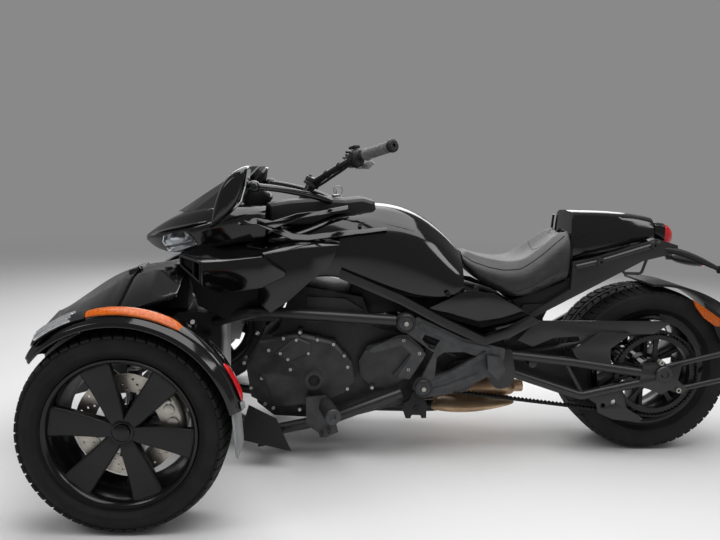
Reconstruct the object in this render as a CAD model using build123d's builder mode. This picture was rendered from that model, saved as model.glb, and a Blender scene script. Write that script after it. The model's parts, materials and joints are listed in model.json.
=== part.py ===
"""Three-wheeled motor vehicle: two steered wheels in front, one belt-driven wheel behind.

Millimetres, +Z up, the vehicle faces -X and its left side is -Y. Side outlines are drawn in
stations: distances behind the front axle. The origin is on the floor under the middle of the
whole vehicle.
"""

from build123d import *
import os
from math import acos, atan2, cos, pi, radians, sin, sqrt

os.makedirs("parts", exist_ok=True)

# Driving dimensions
wheelbase = 1709.0
front_track = 1308.0
overall_length = 2642.0
nose_station = -430.0
front_axle_x = -(nose_station + overall_length / 2)
front_wheel_y = front_track / 2
front_radius = 281.0
rear_radius = 303.0
front_tyre_width = 165.0
rear_tyre_width = 225.0
tyre_sides = 60
bead_radius = 192.0
flange_radius = 206.0
pin_clearance = 0.05
kingpin_y = 575.0
steering_arm = 100.0
steering_arm_splay = 20.0
tie_rod_height = 254.0
pitman_station = 30.0
disc_thickness = 6.0
front_disc_radius = 135.0
rear_disc_radius = 135.0
frame_tube_radius = 19.0
frame_half_width = 205.0
belt_y = 142.0
belt_width = 26.0
belt_pitch = 14.0
belt_thickness = 4.5
belt_tooth = 4.0
belt_rear_radius, belt_front_radius = 154.5, 52.5
sprocket_radius = 145.5
front_pulley_station, front_pulley_height = 1010.0, 276.0
steer_axis_station, steer_axis_height = 450.0, 895.0
steer_rake = 27.0
stem_radius = 15.0
plate_height, plate_hole_spacing_y, plate_hole_spacing_z = 430.0, 146.0, 70.0
plate_hole_radius = 3.5

sides = {"left": -1, "right": 1}

# Planes: side outlines are (station, height), sections are (y, height), plans are (station, y)
side_view = Plane(origin=(front_axle_x, 0, 0), x_dir=(1, 0, 0), z_dir=(0, -1, 0))


def section(station):
    return Plane(origin=(front_axle_x + station, 0, 0), x_dir=(0, 1, 0), z_dir=(1, 0, 0))


def plan(height):
    return Plane(origin=(front_axle_x, 0, height))


def at(station, y, height):
    return Vector(front_axle_x + station, y, height)


def slab(outline, y_inner, y_outer):
    """A left-side plate between two distances from the centre plane."""
    with BuildPart() as made:
        with BuildSketch(side_view.offset(y_inner)):
            Polygon(*outline, align=None)
        extrude(amount=y_outer - y_inner)
    return made.part


def middle_slab(outline, half_width, edge=0.0):
    """A plate or block centred on the vehicle, with its long outer edges rounded."""
    with BuildPart() as made:
        with BuildSketch(side_view):
            Polygon(*outline, align=None)
        extrude(amount=half_width, both=True)
        if edge:
            chamfer(made.faces().sort_by(Axis.Y)[0].edges() + made.faces().sort_by(Axis.Y)[-1].edges(), edge)
    return made.part


def tube(points, radius, bends=None):
    """A round tube through points given as (station, y, height)."""
    path_points = [at(*point) for point in points]
    with BuildPart() as made:
        with BuildLine() as path:
            if bends:
                FilletPolyline(*path_points, radius=bends)
            else:
                Polyline(*path_points)
        with BuildSketch(Plane(origin=path_points[0], z_dir=path_points[1] - path_points[0])):
            Circle(radius)
        sweep(path=path.line, transition=Transition.ROUND)
    return made.part


def drum(centre, direction, radius, length, bore=0.0):
    """A cylinder that starts at centre and runs along direction."""
    with BuildPart() as made:
        with BuildSketch(Plane(origin=at(*centre), z_dir=direction)):
            Circle(radius)
            if bore:
                Circle(bore, mode=Mode.SUBTRACT)
        extrude(amount=length)
    return made.part


def body_loft(sections, ruled=False):
    """A loft through cross sections: each is a station and the right half of its outline."""
    with BuildPart() as made:
        for station, half_outline in sections:
            other_half = [(-y, height) for y, height in reversed(half_outline) if y > 0]
            with BuildSketch(section(station)):
                Polygon(*half_outline, *other_half, align=None)
        loft(ruled=ruled)
    return made.part


def write(name, part):
    part.label = name
    export_step(part, f"parts/{name}.step")


# Wheels -------------------------------------------------------------------------------------

wheel_sizes = {
    # name: station, y, outward side, tyre radius, tyre width, seat half width
    "front_left": (0, -front_wheel_y, -1, front_radius, front_tyre_width, 60.0),
    "front_right": (0, front_wheel_y, 1, front_radius, front_tyre_width, 60.0),
    "rear": (wheelbase, 0, -1, rear_radius, rear_tyre_width, 88.0),
}


def wheel_section(name):
    station, y, outward, radius = wheel_sizes[name][:4]
    return Plane(origin=at(station, y, radius), x_dir=(1, 0, 0), z_dir=(0, 0, outward))


def wheel_face(name, axial):
    station, y, outward, radius = wheel_sizes[name][:4]
    return Plane(
        origin=at(station, y + outward * axial, radius), x_dir=(1, 0, 0), z_dir=(0, outward, 0)
    )


def wheel_axis(name):
    station, y, outward, radius = wheel_sizes[name][:4]
    return Axis(at(station, y, radius), (0, outward, 0))


for name, (station, y, outward, radius, width, seat) in wheel_sizes.items():
    half = width / 2
    right_wall = [
        # reach, distance across: bead, side wall, shoulder and tread
        (flange_radius, seat - 2), (flange_radius + 30, half), (radius - 18, half - 8),
        (radius - 5, half - 26), (radius, half - 48),
    ]
    left_wall = [(reach, -across) for reach, across in reversed(right_wall)]
    with BuildPart() as tyre:
        for reach, across in right_wall + left_wall:
            with BuildSketch(wheel_face(name, across)):
                RegularPolygon(reach, tyre_sides, major_radius=False, rotation=180 / tyre_sides)
        loft(ruled=True)
        with BuildSketch(wheel_face(name, -seat)):
            Circle(bead_radius)
        extrude(amount=2 * seat, mode=Mode.SUBTRACT)
    write(f"{name}_tyre", tyre.part)

# Front wheels: six wide paddle spokes on a small hub, with the brake disc inside
front_hub_bore = 18.0
disc_axial = -32.0
for name in ("front_left", "front_right"):
    outward = wheel_sizes[name][2]
    with BuildPart() as wheel:
        with BuildSketch(wheel_section(name)):
            Polygon(
                (206, 71), (206, 64), (192, 58), (192, -58), (206, -64), (206, -71),
                (184, -71), (178, -56), (170, 0), (176, 40), (186, 71), align=None,
            )
        revolve(axis=wheel_axis(name))
        with BuildSketch(wheel_face(name, disc_axial)):
            Circle(40)
        extrude(amount=88)
        with BuildSketch(wheel_face(name, 26)):
            with PolarLocations(0, 6, start_angle=9 * outward):
                Polygon((30, -19), (178, -38), (178, 38), (30, 19), align=None)
        extrude(amount=28)
        with BuildSketch(wheel_face(name, disc_axial)):
            Circle(front_disc_radius)
        extrude(amount=disc_thickness)
        with BuildSketch(wheel_face(name, disc_axial)):
            Circle(front_hub_bore)
        extrude(amount=70, mode=Mode.SUBTRACT)
    write(f"{name}_wheel", wheel.part)

# Rear wheel: six pairs of spokes, the belt sprocket on its left and the brake disc on its right
rear_axle_radius = 12.5
sprocket_teeth = round(2 * pi * belt_rear_radius / belt_pitch)
sprocket_rim, sprocket_web, sprocket_windows = 124.0, 12.0, 5


def toothed_circle(tip_radius, count):
    """The outline of a toothed wheel: each tooth is a trapezoid on the root circle."""
    root_radius = tip_radius - belt_tooth
    tooth = [(-0.3, root_radius), (-0.17, tip_radius), (0.17, tip_radius), (0.3, root_radius)]
    turn = 2 * pi / count
    return [
        (reach * cos((number + share) * turn), reach * sin((number + share) * turn))
        for number in range(count) for share, reach in tooth
    ]


with BuildPart() as rear_wheel:
    with BuildSketch(wheel_section("rear")):
        Polygon(
            (206, 99), (206, 92), (192, 86), (192, -86), (206, -92), (206, -99),
            (184, -99), (176, -60), (170, 0), (176, 60), (184, 99), align=None,
        )
    revolve(axis=wheel_axis("rear"))
    with BuildSketch(wheel_face("rear", -30)):
        with PolarLocations(0, 6):
            Polygon((30, 4), (176, 20), (176, 36), (30, 22), align=None)
            Polygon((30, -4), (176, -20), (176, -36), (30, -22), align=None)
    extrude(amount=60)
    with BuildSketch(wheel_face("rear", -128)):
        Circle(46)
    extrude(amount=283)
    with BuildSketch(wheel_face("rear", belt_y - belt_width / 2)):
        Polygon(*toothed_circle(sprocket_radius, sprocket_teeth), align=None)
        Circle(sprocket_rim, mode=Mode.SUBTRACT)
    extrude(amount=belt_width)
    with BuildSketch(wheel_face("rear", belt_y - sprocket_web / 2)):
        Circle(sprocket_rim + 1)
        with PolarLocations(0, sprocket_windows, start_angle=90):
            Polygon((58, -8), (112, -54), (119, -40), (119, 40), (112, 54), (58, 8),
                    align=None, mode=Mode.SUBTRACT)
    extrude(amount=sprocket_web)
    with BuildSketch(wheel_face("rear", -128)):
        Circle(rear_disc_radius)
    extrude(amount=disc_thickness)
    with BuildSketch(wheel_face("rear", -130)):
        Circle(rear_axle_radius)
    extrude(amount=300, mode=Mode.SUBTRACT)
write("rear_wheel", rear_wheel.part)

# Front suspension and steering ---------------------------------------------------------------

pin_radius = 10.0
lower_joint_height, upper_joint_height = 150.0, 392.0
caliper_angle = -14.0
for side, s in sides.items():
    wheel_name = f"front_{side}"
    arm_station, arm_y = -steering_arm, s * (kingpin_y + steering_arm_splay)
    with BuildPart() as knuckle:
        with BuildSketch(plan(lower_joint_height)):
            with Locations((0, s * kingpin_y)):
                RectangleRounded(44, 40, 8)
        extrude(amount=upper_joint_height - lower_joint_height)
        with BuildSketch(plan(lower_joint_height)):
            with Locations((0, s * kingpin_y)):
                Circle(pin_radius + pin_clearance)
        extrude(amount=upper_joint_height - lower_joint_height, mode=Mode.SUBTRACT)
        add(drum((0, s * 588, front_radius), (0, s, 0), 30, 28))
        add(drum((0, s * 590, front_radius), (0, s, 0), front_hub_bore - pin_clearance, 92))
        with BuildSketch(plan(tie_rod_height - 26)):
            with BuildLine():
                Polyline(
                    (-12, s * 559), (arm_station - 13, arm_y - s * 12),
                    (arm_station - 13, arm_y + s * 12), (-12, s * 592), close=True,
                )
            make_face()
        extrude(amount=14)
        add(drum((arm_station, arm_y, tie_rod_height - 13), (0, 0, 1), 8, 28))
        # the caliper straddles the disc behind the upright
        with BuildSketch(wheel_face(wheel_name, -58)):
            with PolarLocations(0, 1, start_angle=-s * caliper_angle):
                Polygon((20, -18), (96, -44), (154, -34), (154, 34), (96, 44), (20, 18), align=None)
        extrude(amount=18)
        with BuildSketch(wheel_face(wheel_name, -58)):
            with PolarLocations(0, 1, start_angle=-s * caliper_angle):
                Polygon((96, -44), (154, -34), (154, 34), (96, 44), align=None)
        extrude(amount=56)
        with BuildSketch(wheel_face(wheel_name, disc_axial - 6)):
            Circle(front_disc_radius + 6)
            Circle(50, mode=Mode.SUBTRACT)
        extrude(amount=disc_thickness + 12, mode=Mode.SUBTRACT)
    write(f"knuckle_{side}", knuckle.part)

    # Tie rods run from the knuckle's pin to the pitman arm's, clear at the open inner eye
    inner_end = (pitman_station - steering_arm, s * steering_arm_splay)
    with BuildPart() as tie_rod:
        add(tube([(arm_station, arm_y, tie_rod_height), (*inner_end, tie_rod_height)], 8))
        add(drum((arm_station, arm_y, tie_rod_height - 9), (0, 0, 1), 15, 18))
        add(drum((*inner_end, tie_rod_height - 9), (0, 0, 1), 15, 18))
        with BuildSketch(plan(tie_rod_height - 9)):
            with Locations((arm_station, arm_y)):
                Circle(8 + pin_clearance)
            with Locations(inner_end):
                Circle(10)
        extrude(amount=18, mode=Mode.SUBTRACT)
    write(f"tie_rod_{side}", tie_rod.part)


# Front fenders: an arched strip round the tyre, carried from the knuckle by two stays
fender_low_angle, fender_arc = -20.0, 163.0
lamp_arcs = [
    # from angle, arc, profile of (reach, distance across): amber marker, front lamp, reflector
    (59, 45, [(334, 18), (341, 24), (341, 44), (325, 84), (320, 80), (332, 40)]),
    (108, 23, [(334, -40), (345, -32), (345, 44), (328, 86), (320, 80), (332, 40)]),
    (14, 21, [(333, -14), (337, -12), (337, 12), (333, 14)]),
]
for side, s in sides.items():
    wheel_name = f"front_{side}"
    wheel_centre = at(0, s * front_wheel_y, front_radius)
    low = radians(fender_low_angle)
    low_end = Plane(
        origin=wheel_centre, x_dir=(cos(low), 0, sin(low)), z_dir=(-sin(low) * s, 0, cos(low) * s)
    )
    with BuildPart() as fender:
        with BuildSketch(low_end):
            Polygon(
                (298, -92), (322, -84), (334, -40), (334, 40), (322, 78), (298, 94.5),
                (294, 90), (316, 72), (327, 36), (327, -36), (316, -78), (294, -88), align=None,
            )
        revolve(axis=Axis(wheel_centre, (0, -1, 0)), revolution_arc=fender_arc)
        for end_station, end_height in ((-170, 540), (170, 540)):
            add(tube([
                (0, s * 548, 340), (end_station * 0.45, s * 548, 400),
                (end_station, s * 560, end_height),
            ], 7, 30))
        add(drum((0, s * 541, 340), (0, s, 0), 16, 14))
    write(f"fender_{side}", fender.part)
    with BuildPart() as lamps:
        for from_angle, arc, lamp_profile in lamp_arcs:
            start = radians(from_angle)
            lamp_end = Plane(
                origin=wheel_centre, x_dir=(cos(start), 0, sin(start)),
                z_dir=(-sin(start) * s, 0, cos(start) * s),
            )
            with BuildSketch(lamp_end):
                Polygon(*lamp_profile, align=None)
            revolve(axis=Axis(wheel_centre, (0, -1, 0)), revolution_arc=arc)
        add(fender.part, mode=Mode.SUBTRACT)
    write(f"fender_lamp_{side}", lamps.part)

# The pitman arm turns under the front subframe and carries the tie rods' inner pins
with BuildPart() as pitman_arm:
    with BuildSketch(plan(tie_rod_height - 26)):
        with BuildLine():
            Polyline(
                (pitman_station + 20, -16), (pitman_station - steering_arm - 12, -36),
                (pitman_station - steering_arm - 12, 36), (pitman_station + 20, 16), close=True,
            )
        make_face()
    extrude(amount=14)
    for s in sides.values():
        pin = (pitman_station - steering_arm, s * steering_arm_splay, tie_rod_height - 13)
        add(drum(pin, (0, 0, 1), 7, 24))
    add(drum((pitman_station, 0, tie_rod_height - 26), (0, 0, 1), 20, 40))
    add(drum((pitman_station, 0, tie_rod_height), (0, 0, 1), pin_radius, 72))
write("pitman_arm", pitman_arm.part)

# Frame ---------------------------------------------------------------------------------------

hinge_station, hinge_height = -126.0, 625.0
hinge_pin_radius = 5.0
with BuildPart() as front_subframe:
    with BuildSketch(side_view):
        Polygon(
            (-135, 140), (170, 140), (170, 485), (-110, 485), (-135, 400), (-135, 296),
            (72, 296), (72, 218), (-135, 218), align=None,
        )
    extrude(amount=120, both=True)
    add(middle_slab([(-20, 455), (20, 455), (20, 485), (-20, 485)], 225))
    add(middle_slab([(-110, 480), (40, 480), (40, 634), (-100, 612), (-112, 616), (-120, 632),
                     (-133, 632), (-133, 616), (-116, 600)], 48))
    with BuildSketch(plan(290)):
        with Locations((pitman_station, 0)):
            Circle(pin_radius + pin_clearance)
    extrude(amount=45, mode=Mode.SUBTRACT)
    with BuildSketch(side_view):
        with Locations((hinge_station, hinge_height)):
            Circle(hinge_pin_radius + pin_clearance)
    extrude(amount=60, both=True, mode=Mode.SUBTRACT)
write("front_subframe", front_subframe.part)

# Suspension arms: wishbones with a pin in each end of the knuckle
with BuildPart() as suspension_arms:
    for s in sides.values():
        for pivot_height, joint_height, reach, pin_way in (
            (168, lower_joint_height - 16, 112, 1),
            (409, upper_joint_height + 16, 128, -1),
        ):
            for way in (-1, 1):
                add(tube([
                    (way * reach, s * 120, pivot_height), (0, s * kingpin_y, joint_height),
                ], 12))
            add(drum((0, s * kingpin_y, joint_height - 10), (0, 0, 1), 20, 20))
            add(drum((0, s * kingpin_y, joint_height), (0, 0, pin_way), pin_radius, 50))
        add(tube([(-38, s * 430, 146), (38, s * 430, 146)], 9))
    add(front_subframe.part, mode=Mode.SUBTRACT)
write("suspension_arms", suspension_arms.part)

# Coil-over shock absorbers
with BuildPart() as front_shocks:
    for s in sides.values():
        foot, top = at(0, s * 428, 150), at(0, s * 212, 456)
        along = (top - foot).normalized()
        length = (top - foot).length
        damper = Plane(origin=foot, z_dir=along)
        with BuildSketch(damper):
            Circle(12)
        extrude(amount=length)
        with BuildSketch(damper.offset(50)):
            Circle(24)
        extrude(amount=length - 110)
        for turn in range(8):
            coil = Plane(origin=foot + along * (64 + turn * 29), x_dir=(1, 0, 0), z_dir=along)
            with BuildSketch(coil):
                Circle(33)
            extrude(amount=11)
    add(front_subframe.part, mode=Mode.SUBTRACT)
    add(suspension_arms.part, mode=Mode.SUBTRACT)
write("front_shocks", front_shocks.part)

# Main frame: upper and lower engine tubes and the beam under the tank, on both sides
y = frame_half_width
with BuildPart() as frame_tubes:
    left = [
        tube([(130, -105, 158), (330, -y, 90), (567, -y, 142), (800, -y, 237)],
             frame_tube_radius, 60),
        tube([(150, -110, 455), (300, -y, 512), (770, -y, 490)], frame_tube_radius, 60),
        slab([(581, 660), (575, 632), (784, 548), (924, 478), (1075, 412), (1168, 444),
              (1265, 500), (1240, 512), (1165, 466), (1080, 436), (930, 504), (790, 576)],
             190, 216),
    ]
    for piece in left:
        add(piece)
    for piece in left:
        add(piece.mirror(Plane.XZ))
    add(front_subframe.part, mode=Mode.SUBTRACT)
write("frame_tubes", frame_tubes.part)

# Side castings: the swingarm's carriers, with a round cap at each tube's end
caps = {"upper": (805, 484), "lower": (874, 257)}
casting_thickness = 22.0
with BuildPart() as side_castings:
    with BuildSketch(side_view.offset(188)):
        Polygon(
            (790, 462), (845, 505), (1000, 436), (1150, 400), (1150, 372), (1134, 298),
            (1095, 300), (1062, 282), (960, 236), (895, 225), (850, 250), (905, 382),
            align=None,
        )
        for window in (
            [(916, 366), (940, 384), (1010, 386), (1052, 372), (970, 318), (912, 297)],
            [(862, 428), (872, 445), (925, 426), (905, 392), (890, 396)],
        ):
            Polygon(*window, align=None, mode=Mode.SUBTRACT)
        for cap in caps.values():
            with Locations(cap):
                Circle(34)
    extrude(amount=casting_thickness)
    # raised ribs along the casting's arms, then the turned caps
    with BuildSketch(side_view.offset(188 + casting_thickness)):
        for rib in (
            [(890, 268), (905, 286), (974, 322), (1090, 396), (1108, 388), (985, 306)],
            [(845, 474), (858, 488), (1000, 424), (1100, 404), (1092, 392), (990, 408)],
            [(900, 240), (950, 250), (1062, 300), (1058, 312), (945, 266), (898, 254)],
        ):
            Polygon(*rib, align=None)
    extrude(amount=5)
    for station, height in caps.values():
        add(drum((station, -206, height), (0, -1, 0), 29, 18))
        add(drum((station, -224, height), (0, -1, 0), 11, 4))
    mirror(about=Plane.XZ)
with BuildPart() as castings_clear:
    add(side_castings)
    add(frame_tubes, mode=Mode.SUBTRACT)
write("side_castings", castings_clear.part)

# Engine: one heavy block at its real place, with the covers of its left and right sides
gearbox_half_width, output_shaft_radius = 108.0, 18.0
cover_edge = 9.0
with BuildPart() as engine_block:
    with BuildSketch(side_view):
        Polygon(
            (300, 175), (360, 128), (600, 118), (860, 190), (900, 300), (860, 420),
            (700, 455), (660, 560), (420, 600), (370, 440), (300, 380), align=None,
        )
    extrude(amount=150, both=True)
    add(middle_slab([(880, 205), (1000, 225), (1058, 250), (1062, 302), (1010, 345), (880, 395)],
                    gearbox_half_width, 10))
write("engine_block", engine_block.part)

with BuildPart() as engine_covers:
    with BuildSketch(side_view.offset(150)):
        Polygon(
            (268, 318), (311, 412), (449, 439), (563, 413), (626, 342), (644, 273),
            (605, 227), (521, 190), (370, 174), (286, 214), align=None,
        )
    extrude(amount=62)
    chamfer(engine_covers.faces().sort_by(Axis.Y)[0].outer_wire().edges(), cover_edge)
    with BuildSketch(side_view.offset(212)):
        Polygon((366, 372), (437, 430), (486, 408), (484, 374), (410, 344), align=None)
    extrude(amount=14)
    chamfer(engine_covers.faces().sort_by(Axis.Y)[0].outer_wire().edges(), 3)
    add(drum((499, -212, 281), (0, -1, 0), 33, 14, bore=20))
    add(drum((330, -212, 292), (0, -1, 0), 11, 6))
    # the alternator cover behind, with its bent bracket plate
    with BuildSketch(side_view.offset(150)):
        Polygon(
            (650, 340), (680, 395), (790, 432), (850, 386), (818, 290), (760, 246),
            (700, 250), (658, 287), align=None,
        )
    extrude(amount=38)
    with BuildSketch(side_view.offset(188)):
        Polygon(
            (672, 382), (783, 439), (817, 440), (872, 388), (823, 292), (769, 297),
            (832, 379), (801, 408), (718, 372), align=None,
        )
    extrude(amount=12)
    # the intake runner above the cylinder's side
    add(slab([(470, 470), (640, 478), (660, 520), (600, 556), (470, 560)], 150, 176))
    mirror(about=Plane.XZ)
write("engine_covers", engine_covers.part)

# Rear suspension and drive ---------------------------------------------------------------------

arm_y = 172.0
shock_foot, shock_top = (1262, 0, 338), (1225, 0, 535)
with BuildPart() as swingarm:
    left = [
        slab([(1110, 270), (1110, 392), (1180, 392), (1200, 300), (1180, 256)], 158, 188),
        tube([(1160, -arm_y, 372), (1400, -arm_y, 347), (1700, -arm_y, 307)], 16),
        tube([(1150, -arm_y, 318), (1440, -arm_y, 226), (1700, -arm_y, 290)], 16, 60),
        tube([(1378, -arm_y, 345), (1446, -arm_y, 234)], 7),
        slab([(1640, 268), (1700, 250), (1725, 238), (1752, 256), (1800, 240), (1815, 262),
              (1780, 292), (1790, 352), (1752, 336), (1720, 352), (1650, 342)], 158, 186),
        slab([(1396, 393), (1498, 456), (1600, 454), (1530, 398), (1540, 330), (1440, 336)],
             164, 180),
    ]
    for piece in left:
        add(piece)
    mirror(about=Plane.XZ)
    # the belt's guard plates, on the left only: along its upper run and round its lower one
    add(slab([(1205, 420), (1268, 491), (1754, 499), (1690, 452), (1505, 446), (1331, 431),
              (1260, 398)], 158, 164))
    add(slab([(1420, 440), (1470, 440), (1470, 356), (1440, 356)], 158, 164))
    with BuildSketch(side_view.offset(arm_y - 6)):
        Polygon(
            (1470, 214), (1499, 197), (1508, 164), (1562, 140), (1661, 130), (1673, 144),
            (1611, 182), (1590, 244), (1560, 258), align=None,
        )
        with Locations((1524, 190), (1561, 203)):
            Circle(9, mode=Mode.SUBTRACT)
    extrude(amount=6)
    add(drum((1150, -arm_y - 8, 288), (0, 1, 0), 40, 2 * arm_y + 16))
    add(drum((shock_foot[0], -arm_y, shock_foot[2]), (0, 1, 0), 14, 2 * arm_y))
    add(drum((wheelbase, -arm_y - 20, rear_radius), (0, 1, 0), rear_axle_radius - pin_clearance,
             2 * arm_y + 40))
write("swingarm", swingarm.part)

# The toothed belt runs round the rear sprocket and a pulley on the gearbox's output shaft
pulley_to_axle = Vector(wheelbase - front_pulley_station, rear_radius - front_pulley_height)
belt_lean = atan2(pulley_to_axle.Y, pulley_to_axle.X)
rear_wrap = acos((belt_front_radius - belt_rear_radius) / pulley_to_axle.length)
belt_run = sqrt(pulley_to_axle.length**2 - (belt_rear_radius - belt_front_radius) ** 2)
rear_arc = 2 * rear_wrap * belt_rear_radius
front_arc = 2 * (pi - rear_wrap) * belt_front_radius
belt_length = rear_arc + front_arc + 2 * belt_run
belt_teeth = round(belt_length / belt_pitch)


def round_pulley(centre, radius, angle, inset):
    return Vector(
        centre[0] + (radius - inset) * cos(angle), centre[1] + (radius - inset) * sin(angle)
    )


def belt_place(distance, inset):
    """A place at a distance along the belt's base line, set in towards the pulleys."""
    rear = (wheelbase, rear_radius), belt_rear_radius
    front = (front_pulley_station, front_pulley_height), belt_front_radius
    low, high = belt_lean - rear_wrap, belt_lean + rear_wrap
    distance %= belt_length
    if distance < rear_arc:
        return round_pulley(*rear, low + distance / belt_rear_radius, inset)
    distance -= rear_arc
    if distance < belt_run:
        begin, end = round_pulley(*rear, high, inset), round_pulley(*front, high, inset)
        return begin + (end - begin) * (distance / belt_run)
    distance -= belt_run
    if distance < front_arc:
        return round_pulley(*front, high + distance / belt_front_radius, inset)
    distance -= front_arc
    begin, end = round_pulley(*front, low, inset), round_pulley(*rear, low, inset)
    return begin + (end - begin) * (distance / belt_run)


tooth_steps = [(-0.3, 0.0), (-0.17, belt_tooth), (0.17, belt_tooth), (0.3, 0.0)]
with BuildPart() as drive_belt:
    with BuildSketch(side_view.offset(belt_y - belt_width / 2)):
        with Locations((wheelbase, rear_radius)):
            Circle(belt_rear_radius + belt_thickness)
        with Locations((front_pulley_station, front_pulley_height)):
            Circle(belt_front_radius + belt_thickness)
        make_hull()
        inner_side = [
            belt_place((number + share) * belt_length / belt_teeth, inset)
            for number in range(belt_teeth) for share, inset in tooth_steps
        ]
        Polygon(*inner_side, align=None, mode=Mode.SUBTRACT)
    extrude(amount=belt_width)
write("drive_belt", drive_belt.part)

with BuildPart() as front_pulley:
    pulley_centre = (front_pulley_station, -belt_y + belt_width / 2, front_pulley_height)
    add(drum(pulley_centre, (0, -1, 0), belt_front_radius, belt_width))
    add(drive_belt.part, mode=Mode.SUBTRACT)
    shaft_length = belt_y - belt_width / 2 - gearbox_half_width
    add(drum(pulley_centre, (0, 1, 0), output_shaft_radius, shaft_length))
    pulley_face = (front_pulley_station, -belt_y - belt_width / 2, front_pulley_height)
    add(drum(pulley_face, (0, -1, 0), 20, 8))
write("front_pulley", front_pulley.part)

muffler_y = 40.0
with BuildPart() as muffler:
    for station, height, width, depth, corner in (
        (930, 120, 150, 70, 24), (1010, 140, 230, 110, 36), (1230, 152, 210, 96, 32),
    ):
        half, tall = width / 2, depth / 2
        with BuildSketch(section(station)):
            with Locations((muffler_y, height)):
                Polygon(
                    (half, corner - tall), (half, tall - corner), (half - corner, tall),
                    (corner - half, tall), (-half, tall - corner), (-half, corner - tall),
                    (corner - half, -tall), (half - corner, -tall), align=None,
                )
    loft(ruled=True)
    add(drum((1225, 0, 146), (1, 0, 0.06), 24, 80))
    add(drum((1225, 80, 146), (1, 0, 0.06), 24, 80))
    add(tube([(560, muffler_y, 140), (650, muffler_y, 106), (800, muffler_y, 106),
              (960, muffler_y, 122)], 23, 60))
    add(engine_block.part, mode=Mode.SUBTRACT)
write("muffler", muffler.part)

# Bodywork ----------------------------------------------------------------------------------------

hood_sections = [
    # station, centre height, ridge half width, ridge height, edge half width, edge height
    (-430, 455, 110, 432, 200, 395),
    (-300, 540, 140, 508, 290, 450),
    (-150, 622, 155, 592, 330, 520),
    (-10, 648, 155, 640, 336, 562),
    (64, 656, 155, 652, 320, 590),
]
hood_skin = 12.0
lid_end, shroud_start = -131.0, -116.0
with BuildPart() as hood:
    add(body_loft([
        (station, [(0, centre), (ridge, ridge_height), (edge, edge_height),
                   (edge, edge_height - hood_skin), (ridge, ridge_height - hood_skin),
                   (0, centre - hood_skin)])
        for station, centre, ridge, ridge_height, edge, edge_height in hood_sections
    ]))

# The lid is the hood's front, hinged along its rear edge; the shroud behind it is fixed
with BuildPart() as storage_lid:
    add(hood.part)
    split(bisect_by=section(lid_end), keep=Keep.BOTTOM)
    add(middle_slab([(-146, 590), (-110, 590), (-110, 640), (-146, 640)], 51), mode=Mode.SUBTRACT)
    add(slab([(-160, 600), (-160, 618), (lid_end, 628), (hinge_station, hinge_height + 8),
              (hinge_station + 8, hinge_height), (hinge_station, hinge_height - 8)], 52, 62))
    mirror(about=Plane.XZ)
    add(drum((hinge_station, -62, hinge_height), (0, 1, 0), hinge_pin_radius, 124))
write("storage_lid", storage_lid.part)

with BuildPart() as hood_shroud:
    add(hood.part)
    split(bisect_by=section(shroud_start), keep=Keep.TOP)
    add(front_subframe.part, mode=Mode.SUBTRACT)
write("hood_shroud", hood_shroud.part)

with BuildPart() as storage_tub:
    add(middle_slab([(-370, 300), (-140, 300), (-140, 545), (-370, 412)], 200))
    add(middle_slab([(-366, 304), (-144, 304), (-144, 560), (-366, 430)], 196),
        mode=Mode.SUBTRACT)
write("storage_tub", storage_tub.part)

nose_sections = [
    # station, half width, low height, high height
    (-412, 180, 262, 372),
    (-300, 282, 232, 428),
    (-150, 322, 285, 498),
    (-95, 328, 292, 518),
]
with BuildPart() as nose_fascia:
    add(body_loft([
        (station, [(0, low), (half, low), (half, high), (0, high)])
        for station, half, low, high in nose_sections
    ], ruled=True))
    add(body_loft([
        (station + (8 if station < -400 else 0.5 if station > -100 else 0),
         [(0, low + 6), (half - 6, low + 6), (half - 6, high + 40), (0, high + 40)])
        for station, half, low, high in nose_sections
    ], ruled=True), mode=Mode.SUBTRACT)
    with BuildSketch(section(-440)):
        for grille_height in (285, 310, 335):
            with Locations((0, grille_height)):
                Rectangle(280, 14)
    extrude(amount=60, mode=Mode.SUBTRACT)
    with BuildSketch(plan(200)):
        with Locations((-200, 0)):
            Rectangle(300, 180)
    extrude(amount=90, mode=Mode.SUBTRACT)
    add(front_subframe.part, mode=Mode.SUBTRACT)
write("nose_fascia", nose_fascia.part)

cowl_sections = [
    # station, then the half outline from the top centre round to the bottom centre
    (-110, [(0, 741), (7, 739), (13, 732), (11, 722), (6, 717), (0, 716)]),
    (-20, [(0, 808), (80, 800), (140, 772), (132, 705), (60, 676), (0, 672)]),
    (80, [(0, 850), (110, 842), (215, 806), (205, 716), (100, 684), (0, 680)]),
    (220, [(0, 862), (110, 858), (225, 838), (225, 735), (120, 700), (0, 696)]),
    (330, [(0, 870), (100, 866), (190, 850), (195, 745), (100, 720), (0, 716)]),
]
cowl_shape = body_loft(cowl_sections)
lens_outline = [(-18, 759), (67, 771), (102, 730), (0, 696)]
with BuildPart() as headlight_cowl:
    add(cowl_shape)
    add(slab(lens_outline, 110, 260), mode=Mode.SUBTRACT)
    add(slab(lens_outline, -260, -110), mode=Mode.SUBTRACT)
write("headlight_cowl", headlight_cowl.part)

with BuildPart() as headlights:
    add(slab(lens_outline, 110, 260))
    add(slab(lens_outline, -260, -110))
    add(cowl_shape, mode=Mode.INTERSECT)
write("headlights", headlights.part)

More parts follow.
